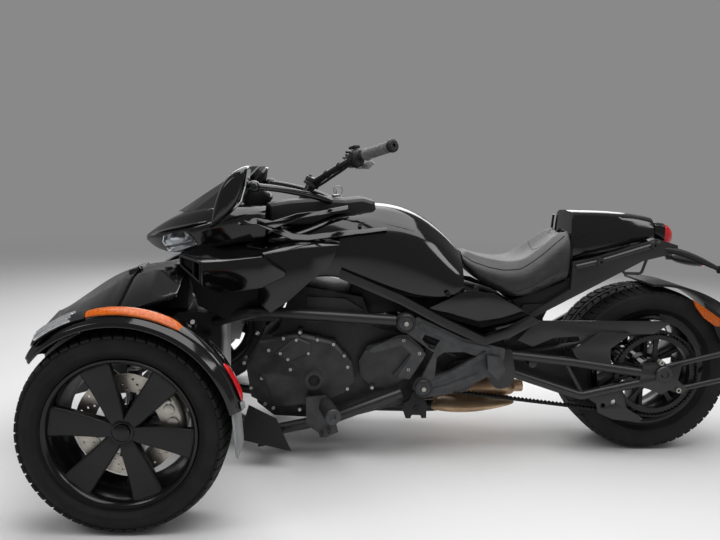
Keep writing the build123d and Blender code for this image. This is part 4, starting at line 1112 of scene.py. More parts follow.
# bodywork
def makeCowl():
    sections = [
        (-0.111, [(0, 0.741), (0.005, 0.74), (0.009, 0.736), (0.011, 0.731), (0.009, 0.723), (0.005, 0.718),
            (0, 0.716)]),
        (-0.06, [(0, 0.781), (0.048, 0.777), (0.088, 0.754), (0.094, 0.746), (0.08, 0.701), (0.04, 0.694),
            (0, 0.692)]),
        (0, [(0, 0.822), (0.095, 0.809), (0.15, 0.771), (0.156, 0.762), (0.14, 0.694), (0.06, 0.684),
            (0, 0.68)]),
        (0.06, [(0, 0.85), (0.13, 0.832), (0.186, 0.787), (0.194, 0.775), (0.178, 0.704), (0.08, 0.69),
            (0, 0.686)]),
        (0.14, [(0, 0.862), (0.175, 0.852), (0.21, 0.815), (0.218, 0.8), (0.205, 0.716), (0.11, 0.7),
            (0, 0.696)]),
        (0.22, [(0, 0.865), (0.195, 0.86), (0.218, 0.838), (0.225, 0.822), (0.214, 0.74), (0.12, 0.714),
            (0, 0.71)]),
        (0.328, [(0, 0.866), (0.172, 0.862), (0.192, 0.85), (0.198, 0.838), (0.186, 0.752), (0.11, 0.73),
            (0, 0.724)]),
    ]
    lens = [
        (-0.026, 0.73, -0.133), (-0.02, 0.752, -0.14), (0.005, 0.761, -0.16), (0.065, 0.776, -0.195),
        (0.09, 0.751, -0.2), (0.104, 0.73, -0.2), (0.035, 0.706, -0.167), (-0.002, 0.696, -0.141),
    ]
    cowl = loftSections("headlightCowl", sections, levels=2, creased=(1, 3, 4), sharpness=0.9)
    for way in (1, -1):
        rim = [spot(station, side * way * 0.55, height) for station, height, side in lens]
        wide = [spot(station, side * way * 1.35, height) for station, height, side in lens]
        cutAway(cowl, loftRings("lampRecess", [rim, wide]))
    smooth(cowl, 30)
    dress(cowl, "gloss_black", "chassis", "headlight_cowl")
    outline = [spot(station, side, height) for station, height, side in lens]
    bowl = loftRings("headlampBowlLeft", [
        scaledRing(outline, 0.985, (0, 0.055, 0)), scaledRing(outline, 0.985, (0, 0.008, 0)),
        scaledRing(outline, 0.9, (0, 0.008, 0)), scaledRing(outline, 0.78, (0, 0.02, 0)),
        scaledRing(outline, 0.5, (0, 0.036, 0)), scaledRing(outline, 0.2, (0, 0.042, 0)),
    ])
    dress(bowl, "brightReflector", "chassis")
    bar = panel("headlampBarLeft", [
        (-0.018, 0.716, -0.134), (0.094, 0.741, -0.196), (0.096, 0.735, -0.196), (-0.016, 0.71, -0.134),
    ], 0.02, 0.001)
    dress(bar, "black_plastic", "chassis")
    glass = panel("headlampLensLeft", [
        (station, height, side - 0.001) for station, height, side in lens
    ], 0.004, 0.001)
    dress(glass, "lamp_glass", "chassis", "headlights")
    brow = loftRings("cowlBrowLeft", [
        [
            spot(station, -side - 0.004, height), spot(station, -side + lean, height + 0.3 * lean),
            spot(station, -side + lean, height + 0.3 * lean - 0.009),
            spot(station, -side + 0.004, height - 0.006),
        ] for station, side, height, lean in (
            (-0.104, 0.014, 0.736, 0.008), (-0.06, 0.092, 0.755, 0.022), (0, 0.154, 0.774, 0.026),
            (0.061, 0.192, 0.79, 0.026), (0.093, 0.205, 0.799, 0.022), (0.136, 0.216, 0.809, 0.01),
        )
    ], bevel=0.001)
    dress(brow, "gloss_black", "chassis")
    bothSides([bowl, bar, glass, brow])


def makeTank():
    sections = [
        (0.331, [(0, 0.77), (0.09, 0.768), (0.15, 0.75), (0.178, 0.716), (0.185, 0.65), (0.175, 0.6)]),
        (0.45, [(0, 0.8), (0.105, 0.797), (0.16, 0.78), (0.19, 0.745), (0.196, 0.67), (0.185, 0.62)]),
        (0.56, [(0, 0.851), (0.11, 0.846), (0.16, 0.834), (0.196, 0.775), (0.203, 0.7), (0.19, 0.64)]),
        (0.653, [(0, 0.883), (0.115, 0.872), (0.168, 0.829), (0.203, 0.77), (0.205, 0.69), (0.192, 0.6)]),
        (0.757, [(0, 0.885), (0.118, 0.868), (0.172, 0.812), (0.205, 0.75), (0.205, 0.66), (0.192, 0.565)]),
        (0.86, [(0, 0.853), (0.112, 0.836), (0.168, 0.785), (0.203, 0.72), (0.203, 0.62), (0.19, 0.562)]),
        (0.946, [(0, 0.788), (0.1, 0.772), (0.15, 0.73), (0.19, 0.68), (0.198, 0.61), (0.188, 0.562)]),
        (1.003, [(0, 0.722), (0.085, 0.712), (0.13, 0.684), (0.172, 0.65), (0.19, 0.61), (0.184, 0.575)]),
    ]
    tank = loftSections("tankCover", sections, levels=2, creased=(1, 2, 5), sharpness=0.7)
    dress(tank, "gloss_black", "chassis", "tank_cover")
    seams = []
    for way in (-1, 1):
        seams.append(runPipe("tankSeam", [
            spot(0.5, way * 0.1525, 0.803), spot(0.556, way * 0.156, 0.831), spot(0.639, way * 0.164, 0.826),
            spot(0.742, way * 0.17, 0.811), spot(0.836, way * 0.1665, 0.789), spot(0.915, way * 0.153, 0.747),
            spot(0.982, way * 0.136, 0.697),
        ], 0.003, sides=3))
    dress(joinPieces("tankSeams", seams), "black_plastic", "chassis")


def makeSidePanels():
    front = panel("frontSidePanelLeft", [
        (0.33, 0.716, -0.286), (0.446, 0.738, -0.262), (0.574, 0.746, -0.222), (0.539, 0.665, -0.23),
        (0.49, 0.632, -0.245), (0.412, 0.561, -0.268), (0.353, 0.52, -0.27), (0.31, 0.56, -0.284),
    ], 0.055, 0.003, rise=0.012)
    dress(front, "gloss_black", "chassis", "side_panels")
    shoulder = loftRings("panelShoulderLeft", [
        [spot(s, y, h) for s, y, h in ring] for ring in (
            [(0.318, -0.289, 0.712), (0.318, -0.25, 0.728), (0.318, -0.248, 0.724), (0.318, -0.286, 0.708)],
            [(0.446, -0.2645, 0.737), (0.446, -0.222, 0.757), (0.446, -0.22, 0.752), (0.446, -0.261, 0.732)],
            [(0.574, -0.2245, 0.745), (0.574, -0.186, 0.764), (0.574, -0.184, 0.759), (0.574, -0.221, 0.741)],
        )
    ], bevel=0.001)
    dress(shoulder, "gloss_black", "chassis")
    rear = panel("rearSidePanelLeft", [
        (0.862, 0.524, -0.197), (1.01, 0.598, -0.198), (1.1, 0.59, -0.195), (1.18, 0.552, -0.19),
        (1.238, 0.512, -0.182), (1.165, 0.468, -0.172), (1.08, 0.438, -0.168), (0.93, 0.506, -0.188),
    ], 0.012, 0.0025)
    dress(rear, "gloss_black", "chassis")
    fork = {"thick": 0.012, "bevel": 0.003}
    lower = panel("forkTrimLowerLeft", [
        (0.24, 0.8, -0.222), (0.3, 0.804, -0.224), (0.373, 0.774, -0.226), (0.417, 0.757, -0.227),
        (0.47, 0.756, -0.226), (0.59, 0.774, -0.216), (0.733, 0.796, -0.2), (0.733, 0.805, -0.188),
        (0.59, 0.792, -0.2), (0.47, 0.775, -0.21), (0.42, 0.778, -0.21), (0.388, 0.792, -0.207),
        (0.35, 0.814, -0.205), (0.3, 0.826, -0.207), (0.24, 0.824, -0.207),
    ], fork["thick"], fork["bevel"])
    upper = panel("forkTrimUpperLeft", [
        (0.3, 0.804, -0.22), (0.36, 0.793, -0.218), (0.44, 0.826, -0.203), (0.503, 0.838, -0.19),
        (0.6, 0.86, -0.166), (0.6, 0.873, -0.15), (0.503, 0.853, -0.175), (0.43, 0.843, -0.19),
        (0.35, 0.816, -0.205), (0.3, 0.826, -0.206),
    ], fork["thick"], fork["bevel"])
    dress(lower, "gloss_black", "chassis")
    dress(upper, "gloss_black", "chassis")
    fastener = boltHead("tankFastenerLeft", spot(0.64, -0.184, 0.806), 0.007, 0.006, (0, -0.8, 0.6))
    dress(fastener, "black_plastic", "chassis")
    bolt = boltHead("panelBoltLeft", spot(1.04, -0.197, 0.607), 0.009, 0.009)
    dress(bolt, "black_plastic", "chassis")
    lowBolt = boltHead("panelLowBoltLeft", spot(0.945, -0.197, 0.585), 0.009, 0.009)
    dress(lowBolt, "black_plastic", "chassis")
    bothSides([front, shoulder, rear, lower, upper, fastener, bolt, lowBolt])


def makeMirrors():
    shape = [
        (0.281, 0.998), (0.289, 0.99), (0.283, 0.93), (0.268, 0.88), (0.22, 0.83), (0.172, 0.796),
        (0.182, 0.86), (0.206, 0.937), (0.24, 0.975),
    ]
    rings = []
    for side, size in ((-0.278, 0.6), (-0.284, 0.85), (-0.31, 0.99), (-0.365, 0.99), (-0.392, 0.85),
        (-0.399, 0.6)):
        rings.append(scaledRing([spot(station, side, height) for station, height in shape], size))
    housing = loftRings("mirrorLeft", rings, levels=2, creased=(1, 5), sharpness=0.6)
    arm = runPipe("mirrorArm", [
        spot(0.286, -0.3, 0.93), spot(0.34, -0.268, 0.928), spot(0.42, -0.214, 0.915),
        spot(0.503, -0.16, 0.897),
        spot(0.54, -0.125, 0.88),
    ], 0.0105)
    bpy.ops.object.select_all(action="DESELECT")
    bpy.ops.mesh.primitive_uv_sphere_add(segments=32, ring_count=16, radius=0.019,
        location=spot(0.3, -0.3, 0.93))
    ball = bpy.context.object
    placeAtOrigin(ball)
    cap = boltHead("mirrorBolt", spot(0.3, -0.314, 0.93), 0.011, 0.008)
    whole = joinPieces("mirrorLeft", [housing, arm, ball, cap])
    smooth(whole, 35)
    dress(whole, "gloss_black", "chassis", "mirrors")
    back = [(0.2855, 0.982), (0.2795, 0.93), (0.266, 0.886), (0.225, 0.846)]
    glassRings = []
    for station, height in back:
        reach = 0.045 - 0.01 * abs(height - 0.93) / 0.05
        glassRings.append([spot(station + 0.003, -0.34 - reach, height),
            spot(station + 0.003, -0.34 + reach, height)])
    plate = stretchNet("mirrorGlassLeft", glassRings)
    applyModifier(plate, "SOLIDIFY", thickness=0.003, offset=0)
    dress(plate, "brightReflector", "chassis")
    bothSides([whole, plate])


makeCowl()
makeTank()
makeSidePanels()
makeMirrors()
print("bodywork built")


# seat, tail and what hangs from it
def swell(piece, voxel, pressure, cap):
    # air-filled cloth: remeshed, blown up by a short simulation, held within a cap, then smoothed
    onlySelect(piece)
    applyModifier(piece, "REMESH", mode="VOXEL", voxel_size=voxel)
    start = [vertex.co.copy() for vertex in piece.data.vertices]
    onlySelect(piece)
    bpy.ops.object.modifier_add(type="CLOTH")
    cloth = piece.modifiers[-1].settings
    cloth.use_pressure = True
    cloth.uniform_pressure_force = pressure
    cloth.effector_weights.gravity = 0
    for frameNumber in range(1, 21):
        bpy.context.scene.frame_set(frameNumber)
    bpy.ops.object.modifier_apply(modifier=piece.modifiers[-1].name)
    bpy.context.scene.frame_set(1)
    for vertex, was in zip(piece.data.vertices, start):
        move = vertex.co - was
        if move.length > cap:
            vertex.co = was + move.normalized() * cap
    applyModifier(piece, "SMOOTH", factor=0.5, iterations=4)
    applyModifier(piece, "SUBSURF", levels=1, render_levels=1)


def sewnLine(name, cover, places, radius, sink=0.0003):
    # a thread laid on a cover's surface, between places near it
    laid = []
    for begin, end in zip(places, places[1:]):
        for share in (0, 0.25, 0.5, 0.75):
            _, place, normal, _ = cover.closest_point_on_mesh(Vector(begin).lerp(Vector(end), share))
            laid.append(place - normal * sink)
    return runPipe(name, laid, radius, sides=2)


def makeSeat():
    seat = {"voxel": 0.006, "pressure": 4, "cap": 0.006, "threadRadius": 0.0014, "seamRadius": 0.0022}
    sections = [
        (1.009, [(0, 0.724), (0.04, 0.724), (0.07, 0.717), (0.09, 0.703), (0.095, 0.691), (0.088, 0.683),
            (0, 0.682)]),
        (1.045, [(0, 0.704), (0.05, 0.705), (0.092, 0.699), (0.119, 0.68), (0.127, 0.658), (0.115, 0.641),
            (0, 0.64)]),
        (1.1, [(0, 0.69), (0.055, 0.692), (0.108, 0.688), (0.141, 0.663), (0.152, 0.632), (0.138, 0.604),
            (0, 0.6)]),
        (1.183, [(0, 0.677), (0.055, 0.68), (0.115, 0.68), (0.148, 0.65), (0.163, 0.61), (0.15, 0.568),
            (0, 0.566)]),
        (1.235, [(0, 0.683), (0.055, 0.69), (0.115, 0.698), (0.146, 0.67), (0.163, 0.625), (0.15, 0.575),
            (0, 0.572)]),
        (1.285, [(0, 0.71), (0.052, 0.72), (0.108, 0.737), (0.139, 0.71), (0.159, 0.66), (0.148, 0.596),
            (0, 0.594)]),
        (1.335, [(0, 0.755), (0.05, 0.764), (0.098, 0.779), (0.131, 0.758), (0.15, 0.71), (0.143, 0.62),
            (0, 0.616)]),
        (1.37, [(0, 0.79), (0.05, 0.796), (0.09, 0.804), (0.12, 0.788), (0.14, 0.74), (0.14, 0.64),
            (0, 0.636)]),
        (1.383, [(0, 0.8), (0.05, 0.805), (0.084, 0.808), (0.112, 0.794), (0.134, 0.745), (0.136, 0.646),
            (0, 0.642)]),
    ]
    cushion = loftSections("seatCushion", sections, levels=2, creased=(2, 5), sharpness=0.55)
    swell(cushion, seat["voxel"], seat["pressure"], seat["cap"])
    smooth(cushion, 60)
    dress(cushion, "seat_cover", "chassis", "seat")
    edge = [
        (1.016, 0.08, 0.706), (1.045, 0.106, 0.69), (1.1, 0.125, 0.672), (1.15, 0.131, 0.663),
        (1.208, 0.132, 0.668), (1.236, 0.13, 0.686), (1.284, 0.124, 0.722), (1.335, 0.114, 0.766),
        (1.371, 0.105, 0.796),
    ]
    lower = [(1.14, 0.158, 0.586), (1.2, 0.16, 0.592), (1.26, 0.158, 0.618), (1.32, 0.15, 0.652),
        (1.378, 0.14, 0.69)]
    across = [(1.3, 0.1, 0.745), (1.292, 0.055, 0.728), (1.288, 0, 0.715), (1.292, -0.055, 0.728),
        (1.3, -0.1, 0.745)]
    threads = [sewnLine("seatSeam", cushion, [spot(s, y, h) for s, y, h in across], seat["threadRadius"])]
    for way in (-1, 1):
        threads.append(sewnLine("seatEdge", cushion, [spot(s, way * y, h) for s, y, h in edge],
            seat["seamRadius"]))
        threads.append(sewnLine("seatLow", cushion, [spot(s, way * y, h) for s, y, h in lower],
            seat["threadRadius"]))
    dress(joinPieces("seatSeams", threads), "black_plastic", "chassis")


def makeTail():
    sections = [
        (1.394, [(0, 0.872), (0.066, 0.87), (0.088, 0.859), (0.107, 0.8), (0.1155, 0.745), (0.111, 0.708),
            (0, 0.705)]),
        (1.47, [(0, 0.8745), (0.068, 0.872), (0.09, 0.859), (0.107, 0.805), (0.112, 0.757), (0.107, 0.728),
            (0, 0.723)]),
        (1.55, [(0, 0.874), (0.066, 0.871), (0.086, 0.857), (0.102, 0.808), (0.107, 0.77), (0.103, 0.748),
            (0, 0.742)]),
        (1.64, [(0, 0.866), (0.058, 0.863), (0.077, 0.849), (0.091, 0.812), (0.096, 0.786), (0.093, 0.77),
            (0, 0.764)]),
        (1.698, [(0, 0.857), (0.05, 0.853), (0.066, 0.84), (0.078, 0.815), (0.083, 0.797), (0.08, 0.787),
            (0, 0.782)]),
    ]
    cowl = loftSections("tailCowl", sections, levels=2, creased=(2, 5), sharpness=0.75)
    for way in (-1, 1):
        notch = panel("tailNotch", [
            (1.41, 0.79, way * 0.14), (1.47, 0.802, way * 0.14), (1.41, 0.774, way * 0.14),
        ], -way * 0.035, 0)
        cutAway(cowl, notch)
    smooth(cowl, 30)
    dress(cowl, "gloss_black", "chassis", "tail_cowl")
    trims = []
    for way in (-1, 1):
        trims.append(runPipe("tailFrontTrim", [
            spot(1.3895, way * 0.105, 0.848), spot(1.3885, way * 0.113, 0.8),
            spot(1.3885, way * 0.117, 0.745),
            spot(1.39, way * 0.115, 0.706),
        ], 0.0045))
    dress(joinPieces("tailFrontTrims", trims), "gloss_black", "chassis")
    housing = loftSections("tailLampHousing", [
        (1.7005, [(0, 0.838), (0.058, 0.837), (0.074, 0.829), (0.0775, 0.8), (0.07, 0.785), (0, 0.782)]),
        (1.72, [(0, 0.837), (0.06, 0.837), (0.076, 0.829), (0.0778, 0.793), (0.071, 0.77), (0, 0.766)]),
        (1.738, [(0, 0.835), (0.061, 0.835), (0.0765, 0.826), (0.0778, 0.79), (0.071, 0.757), (0, 0.75)]),
    ], bevel=0.002)
    dress(housing, "gloss_black", "chassis", "rear_lamps")
    red = loftSections("tailLampLens", [
        (1.7365, [(0, 0.833), (0.059, 0.833), (0.074, 0.824), (0.0755, 0.79), (0.069, 0.759), (0, 0.752)]),
        (1.755, [(0, 0.829), (0.056, 0.829), (0.07, 0.82), (0.072, 0.79), (0.066, 0.76), (0, 0.753)]),
        (1.77, [(0, 0.816), (0.048, 0.815), (0.06, 0.807), (0.062, 0.787), (0.057, 0.765), (0, 0.76)]),
        (1.7775, [(0, 0.805), (0.04, 0.804), (0.05, 0.798), (0.052, 0.787), (0.048, 0.776), (0, 0.772)]),
    ], bevel=0.0015)
    dress(red, "red_lens", "chassis")


def makeTurnSignals():
    arm = []
    for station, side, height, wide, tall in (
        (1.7, 0.112, 0.75, 0.02, 0.012), (1.76, 0.136, 0.745, 0.02, 0.014), (1.82, 0.16, 0.722, 0.018, 0.014),
        (1.86, 0.174, 0.703, 0.014, 0.011), (1.888, 0.182, 0.69, 0.009, 0.008),
    ):
        arm.append(ovalRing(station, -side, height, wide, tall, 8))
    blade = loftRings("signalArmLeft", arm, levels=1)
    collar = [(1.882, 0.008), (1.884, 0.0135), (1.9, 0.0135), (1.902, 0.009)]
    ring = spinProfile("signalCollar", [
        spot(station, -0.183, 0.689 + radius) for station, radius in [(1.882, 0)] + collar + [(1.902, 0)]
    ], spot(1.89, -0.183, 0.689), axis=(1, 0, 0), steps=32)
    whole = joinPieces("signalArmLeft", [blade, ring])
    smooth(whole, 35)
    dress(whole, "black_plastic", "chassis")
    body = []
    for station, side, height, wide, tall in (
        (1.9, 0.184, 0.686, 0.008, 0.007), (1.915, 0.188, 0.682, 0.018, 0.013),
        (1.95, 0.195, 0.676, 0.029, 0.018), (1.99, 0.2, 0.671, 0.0335, 0.0195),
        (2.03, 0.203, 0.667, 0.031, 0.018),
    ):
        body.append(ovalRing(station, -side, height, wide, tall, 16))
    shell = loftRings("signalBodyLeft", body, levels=1)
    dress(shell, "black_plastic", "chassis")
    tip = []
    for station, side, height, wide, tall in (
        (2.031, 0.203, 0.667, 0.0305, 0.0175), (2.048, 0.2045, 0.6655, 0.027, 0.0155),
        (2.059, 0.2055, 0.6645, 0.018, 0.01),
    ):
        tip.append(ovalRing(station, -side, height, wide, tall, 16))
    lens = loftRings("signalLensLeft", tip, levels=1)
    dress(lens, "red_lens", "chassis")
    marker = panel("sideMarkerLeft", [
        (1.836, 0.572, -0.1295), (1.893, 0.537, -0.1295), (1.956, 0.497, -0.1295), (1.957, 0.477, -0.1295),
        (1.928, 0.476, -0.1295), (1.882, 0.507, -0.1295), (1.85, 0.545, -0.1295),
    ], 0.008, 0.002)
    dress(marker, "amber_lens", "chassis")
    bothSides([whole, shell, lens, marker])


makeSeat()
makeTail()
makeTurnSignals()
print("seat and tail built")


# handlebar, grips and switches, which turn with the steering
def turnedAlong(name, base, way, profile, steps=48):
    # a turned piece along a straight line: profile of (distance, radius) from the base
    way = Vector(way).normalized()
    aside = way.cross(Vector((0, 0, 1))).normalized()
    places = [Vector(base) + way * distance + aside * radius for distance, radius in profile]
    return spinProfile(name, places, base, axis=way, steps=steps)


def makeControls():
    inner, outer = spot(0.648, -0.298, 1.04), spot(0.716, -0.41, 1.064)
    way = (outer - inner).normalized()
    length = (outer - inner).length
    ribs = []
    for step in range(14):
        at = 0.012 + step * (length - 0.03) / 13
        ribs += [(at, 0.0162), (at + 0.0015, 0.0174), (at + 0.0055, 0.0174), (at + 0.007, 0.0162)]
    grip = turnedAlong("gripLeft", inner, way,
        [(0, 0), (0, 0.0195), (0.004, 0.0205), (0.008, 0.019)] + ribs + [
        (length - 0.004, 0.0165), (length - 0.001, 0.0165), (length - 0.001, 0),
    ])
    dress(grip, "gripGrey", "handlebar", "controls")
    end = turnedAlong("gripEndLeft", inner, way, [
        (length - 0.001, 0), (length - 0.001, 0.019), (length + 0.003, 0.0205), (length + 0.01, 0.0195),
        (length + 0.0135, 0.014), (length + 0.0135, 0.006), (length + 0.008, 0.005), (length + 0.008, 0),
    ])
    dress(end, "black_plastic", "handlebar")
    begin = spot(0.6, -0.235, 1.022)
    along = (spot(0.64, -0.285, 1.037) - begin).normalized()
    up = Vector((0, 0, 1)) - along * along.z
    up.normalize()
    aside = along.cross(up)
    podRings = []
    for distance, wide, tall, lift in (
        (-0.002, 0.014, 0.016, 0.002), (0.004, 0.021, 0.026, 0.0), (0.02, 0.026, 0.033, -0.002),
        (0.04, 0.0265, 0.034, -0.003), (0.05, 0.022, 0.028, -0.001), (0.054, 0.017, 0.019, 0.002),
    ):
        podRings.append([
            begin + along * distance + aside * wide * math.cos(turn * math.pi / 4)
            + up * (lift + tall * math.sin(turn * math.pi / 4))
            for turn in range(8)
        ])
    pod = loftRings("switchPodLeft", podRings, levels=1)
    parts = [pod]
    # switch caps on the pod's rear face, a rocker on top and the shift paddle below
    for distance, lift, radius in ((0.014, 0.012, 0.006), (0.034, 0.014, 0.0065), (0.026, -0.008, 0.008)):
        parts.append(boltHead("switchCap", begin + along * distance + aside * -0.024 + up * lift, radius,
            0.007, -aside))
        parts.append(boltHead("podBolt", begin + along * distance + aside * 0.023 + up * lift, radius * 0.6,
            0.005, aside))
    rocker = [
        begin + along * 0.012 + aside * -0.012 + up * 0.03,
        begin + along * 0.042 + aside * -0.012 + up * 0.03,
        begin + along * 0.042 + aside * 0.012 + up * 0.03, begin + along * 0.012 + aside * 0.012 + up * 0.03,
    ]
    parts.append(cutOutline("rocker", rocker, up * 0.009, 0.002))
    whole = joinPieces("switchPodLeft", parts)
    smooth(whole, 35)
    dress(whole, "black_plastic", "handlebar")
    paddle = cutOutline("shiftPaddleLeft", [
        begin + along * 0.03 + aside * -0.02 + up * -0.02,
        begin + along * 0.062 + aside * -0.032 + up * -0.014,
        begin + along * 0.075 + aside * -0.034 + up * -0.026,
        begin + along * 0.05 + aside * -0.026 + up * -0.04,
        begin + along * 0.028 + aside * -0.018 + up * -0.034,
    ], aside * -0.004, 0.001)
    dress(paddle, "greyFlap", "handlebar")
    cables = []
    for shift, drop in ((0.006, 0.013), (-0.007, 0.016)):
        cables.append(runPipe("podCable", [
            begin + aside * shift + along * 0.01 + up * -drop, spot(0.585, -0.214, 1.0 - shift),
            spot(0.545, -0.16, 0.972 - shift),
            spot(0.505, -0.1, 0.942 - shift), spot(0.478, -0.055, 0.922), spot(0.462, -0.03, 0.9),
        ], 0.0038))
    for distance in (0.25, 0.6):
        cables.append(turnedAlong("cableTie",
            spot(0.6, -0.235, 1.022).lerp(spot(0.478, -0.062, 0.943), distance),
                                  spot(0.478, -0.062, 0.943) - spot(0.6, -0.235, 1.022),
                                  [(0, 0.0112), (0, 0.0135), (0.006, 0.0135), (0.006, 0.0112)], 24))
    harness = joinPieces("podCablesLeft", cables)
    dress(harness, "black_plastic", "handlebar")
    bothSides([grip, end, whole, paddle, harness], "handlebar")


def makeBars():
    # the bar from grip to grip, its clamp and the steering stem
    half = [
        (0.474, 0, 0.943), (0.476, 0.03, 0.943), (0.482, 0.068, 0.9455), (0.52, 0.122, 0.9705),
        (0.56, 0.178, 0.996), (0.6, 0.234, 1.0215), (0.622, 0.262, 1.0305), (0.66, 0.317, 1.045),
        (0.712, 0.404, 1.0625),
    ]
    route = [spot(s, -y, h) for s, y, h in reversed(half)] + [spot(s, y, h) for s, y, h in half[1:]]
    bar = runPipe("handlebarTube", route, 0.011, sides=8)
    rake = math.radians(27)
    axis = Vector((math.sin(rake), 0, math.cos(rake)))
    foot = spot(0.45, 0, 0.895)
    stem = turnedAlong("steeringStem", foot, axis, [(-0.055, 0), (-0.055, 0.017), (0.066, 0.017), (0.066, 0)])
    clamp = []
    for low, high in ((0.04, 0.053), (0.054, 0.069)):
        corners = [
            (-0.028, -0.06), (-0.02, -0.073), (0.02, -0.073), (0.028, -0.06), (0.028, 0.06), (0.02, 0.073),
            (-0.02, 0.073), (-0.028, 0.06),
        ]
        ahead = axis.cross(Vector((0, 1, 0))).normalized()
        clamp.append(cutOutline("clampPlate", [
            foot + axis * low + ahead * along + Vector((0, side, 0)) for along, side in corners
        ], axis * (high - low), 0.003))
        if low > 0.05:
            for along in (-0.018, 0.018):
                for side in (-0.045, 0.045):
                    clamp.append(boltHead(
                        "clampBolt", foot + axis * (high - 0.001) + ahead * along + Vector((0, side, 0)),
                        0.006, 0.006, axis,
                    ))
    whole = joinPieces("handlebarTube", [bar, stem] + clamp)
    smooth(whole, 35)
    dress(whole, "frame_black", "handlebar", "handlebar")


def makeDash():
    # the round gauge with its bezel, and the key with its ring, on the console
    tilt = Vector((0.55, 0, 0.83)).normalized()
    base = spot(0.245, 0, 0.86)
    bezel = turnedAlong("gaugeBezel", base, tilt, [
        (0.045, 0), (0.045, 0.0605), (0.07, 0.0605), (0.074, 0.056), (0.0735, 0.052), (0.069, 0.05),
        (0.069, 0),
    ], 64)
    dress(bezel, "gloss_black", "chassis")
    face = turnedAlong("gaugeFace", base, tilt,
        [(0.0688, 0), (0.0688, 0.0495), (0.0704, 0.0485), (0.0712, 0)], 64)
    dress(face, "smoked_screen", "chassis")
    lock = turnedAlong("keyBarrel", spot(0.56, 0, 0.893), (-0.15, 0, 1), [
        (0, 0), (0, 0.015), (0.008, 0.015), (0.01, 0.012), (0.01, 0),
    ])
    blade = cutOutline("keyBlade", [
        spot(0.5595, -0.006, 0.903), spot(0.5595, 0.006, 0.903), spot(0.5565, 0.009, 0.921),
        spot(0.5565, -0.009, 0.921),
    ], (0.003, 0, 0), 0.0005)
    ring = spinProfile("keyRing", [
        spot(0.566 + 0.0155 + 0.0012 * math.cos(turn), 0.0012 * math.sin(turn), 0.917)
        for turn in (0, math.pi / 3, 2 * math.pi / 3, math.pi, 4 * math.pi / 3, 5 * math.pi / 3)
    ], spot(0.566, 0, 0.917), steps=32)
    dress(joinPieces("ignitionKey", [lock, blade, ring]), "forged_steel", "chassis")


makeControls()
makeBars()
makeDash()
print("handlebar and dash built")


# engine, castings, silencer, springs and pedals


def makeEngineDetails():
    cover = {"boss": 0.009, "bolt": 0.0055, "depth": 0.212}
    rim = [
        (0.344, 0.38), (0.262, 0.335), (0.393, 0.422), (0.448, 0.444), (0.507, 0.42), (0.562, 0.405),
        (0.599, 0.366), (0.612, 0.327), (0.613, 0.25), (0.322, 0.283), (0.286, 0.248), (0.334, 0.192),
        (0.362, 0.178), (0.452, 0.174), (0.418, 0.315),
    ]
    bosses, heads = [], []
    for station, height in rim:
        bosses.append(boltHead("coverBoss", spot(station, -0.15, height), cover["boss"],
            cover["depth"] - 0.154, sides=16))
        heads.append(boltHead("coverBolt", spot(station, 0.002 - cover["depth"], height), cover["bolt"],
            0.007))
    for station, height in ((0.384, 0.374), (0.41, 0.354), (0.478, 0.376), (0.437, 0.421)):
        heads.append(boltHead("coverBolt", spot(station, -0.2255, height), cover["bolt"] * 0.9, 0.006))
    for station, height in ((0.801, 0.421), (0.857, 0.376), (0.821, 0.319), (0.698, 0.252)):
        heads.append(boltHead("coverBolt", spot(station, -0.199, height), cover["bolt"], 0.006))
    bosses.append(boltHead("coverBoss", spot(0.698, -0.15, 0.252), cover["boss"], 0.049, sides=16))
    boss = joinPieces("coverBossesLeft", bosses)
    dress(boss, "engine_dark", "chassis")
    head = joinPieces("coverBoltsLeft", heads)
    dress(head, "castSilver", "chassis")
    plate = cutOutline("generatorPlateLeft", [
        spot(station, -0.189, height) for station, height in (
            (0.679, 0.378), (0.699, 0.399), (0.789, 0.433), (0.812, 0.431), (0.88, 0.375), (0.871, 0.355),
            (0.828, 0.283), (0.782, 0.29), (0.829, 0.37), (0.796, 0.402), (0.7, 0.375),
        )
    ], (0, -0.014, 0), 0.003)
    dress(plate, "cast_grey", "chassis")
    filler = boltHead("oilFillerLeft", spot(0.499, -0.212, 0.281), 0.028, 0.012, sides=40)
    dress(filler, "black_plastic", "chassis")
    caps, screws = [], []
    for station, height in ((0.805, 0.484), (0.874, 0.257)):
        caps.append(turnedAlong("pivotCap", spot(station, -0.204, height), (0, -1, 0), [
            (0, 0), (0, 0.032), (0.019, 0.032), (0.0235, 0.029), (0.0235, 0.0255), (0.018, 0.0235),
            (0.018, 0.0125), (0.022, 0.011), (0.022, 0),
        ]))
        screws.append(boltHead("pivotScrew", spot(station, -0.226, height), 0.0075, 0.006))
    cap = joinPieces("pivotCapsLeft", caps)
    dress(cap, "frame_black", "chassis")
    screw = joinPieces("pivotScrewsLeft", screws)
    dress(screw, "castSilver", "chassis")
    bothSides([boss, head, plate, filler, cap, screw])
    # what closes the view under the tank and seat: air box and battery tray
    for name, outline, half in (
        ("airBox", [(0.6, 0.5), (0.62, 0.6), (0.84, 0.625), (0.93, 0.575), (0.86, 0.505), (0.7, 0.488)],
            0.105),
        ("batteryTray", [
            (0.8, 0.46), (0.8, 0.5), (0.93, 0.577), (1.02, 0.6), (1.16, 0.56), (1.21, 0.53), (1.16, 0.42),
            (1.08, 0.36), (0.95, 0.38),
        ], 0.1),
    ):
        box = cutOutline(name, [spot(s, -half, h) for s, h in outline], (0, 2 * half, 0), 0.01)
        dress(box, "black_plastic", "chassis")


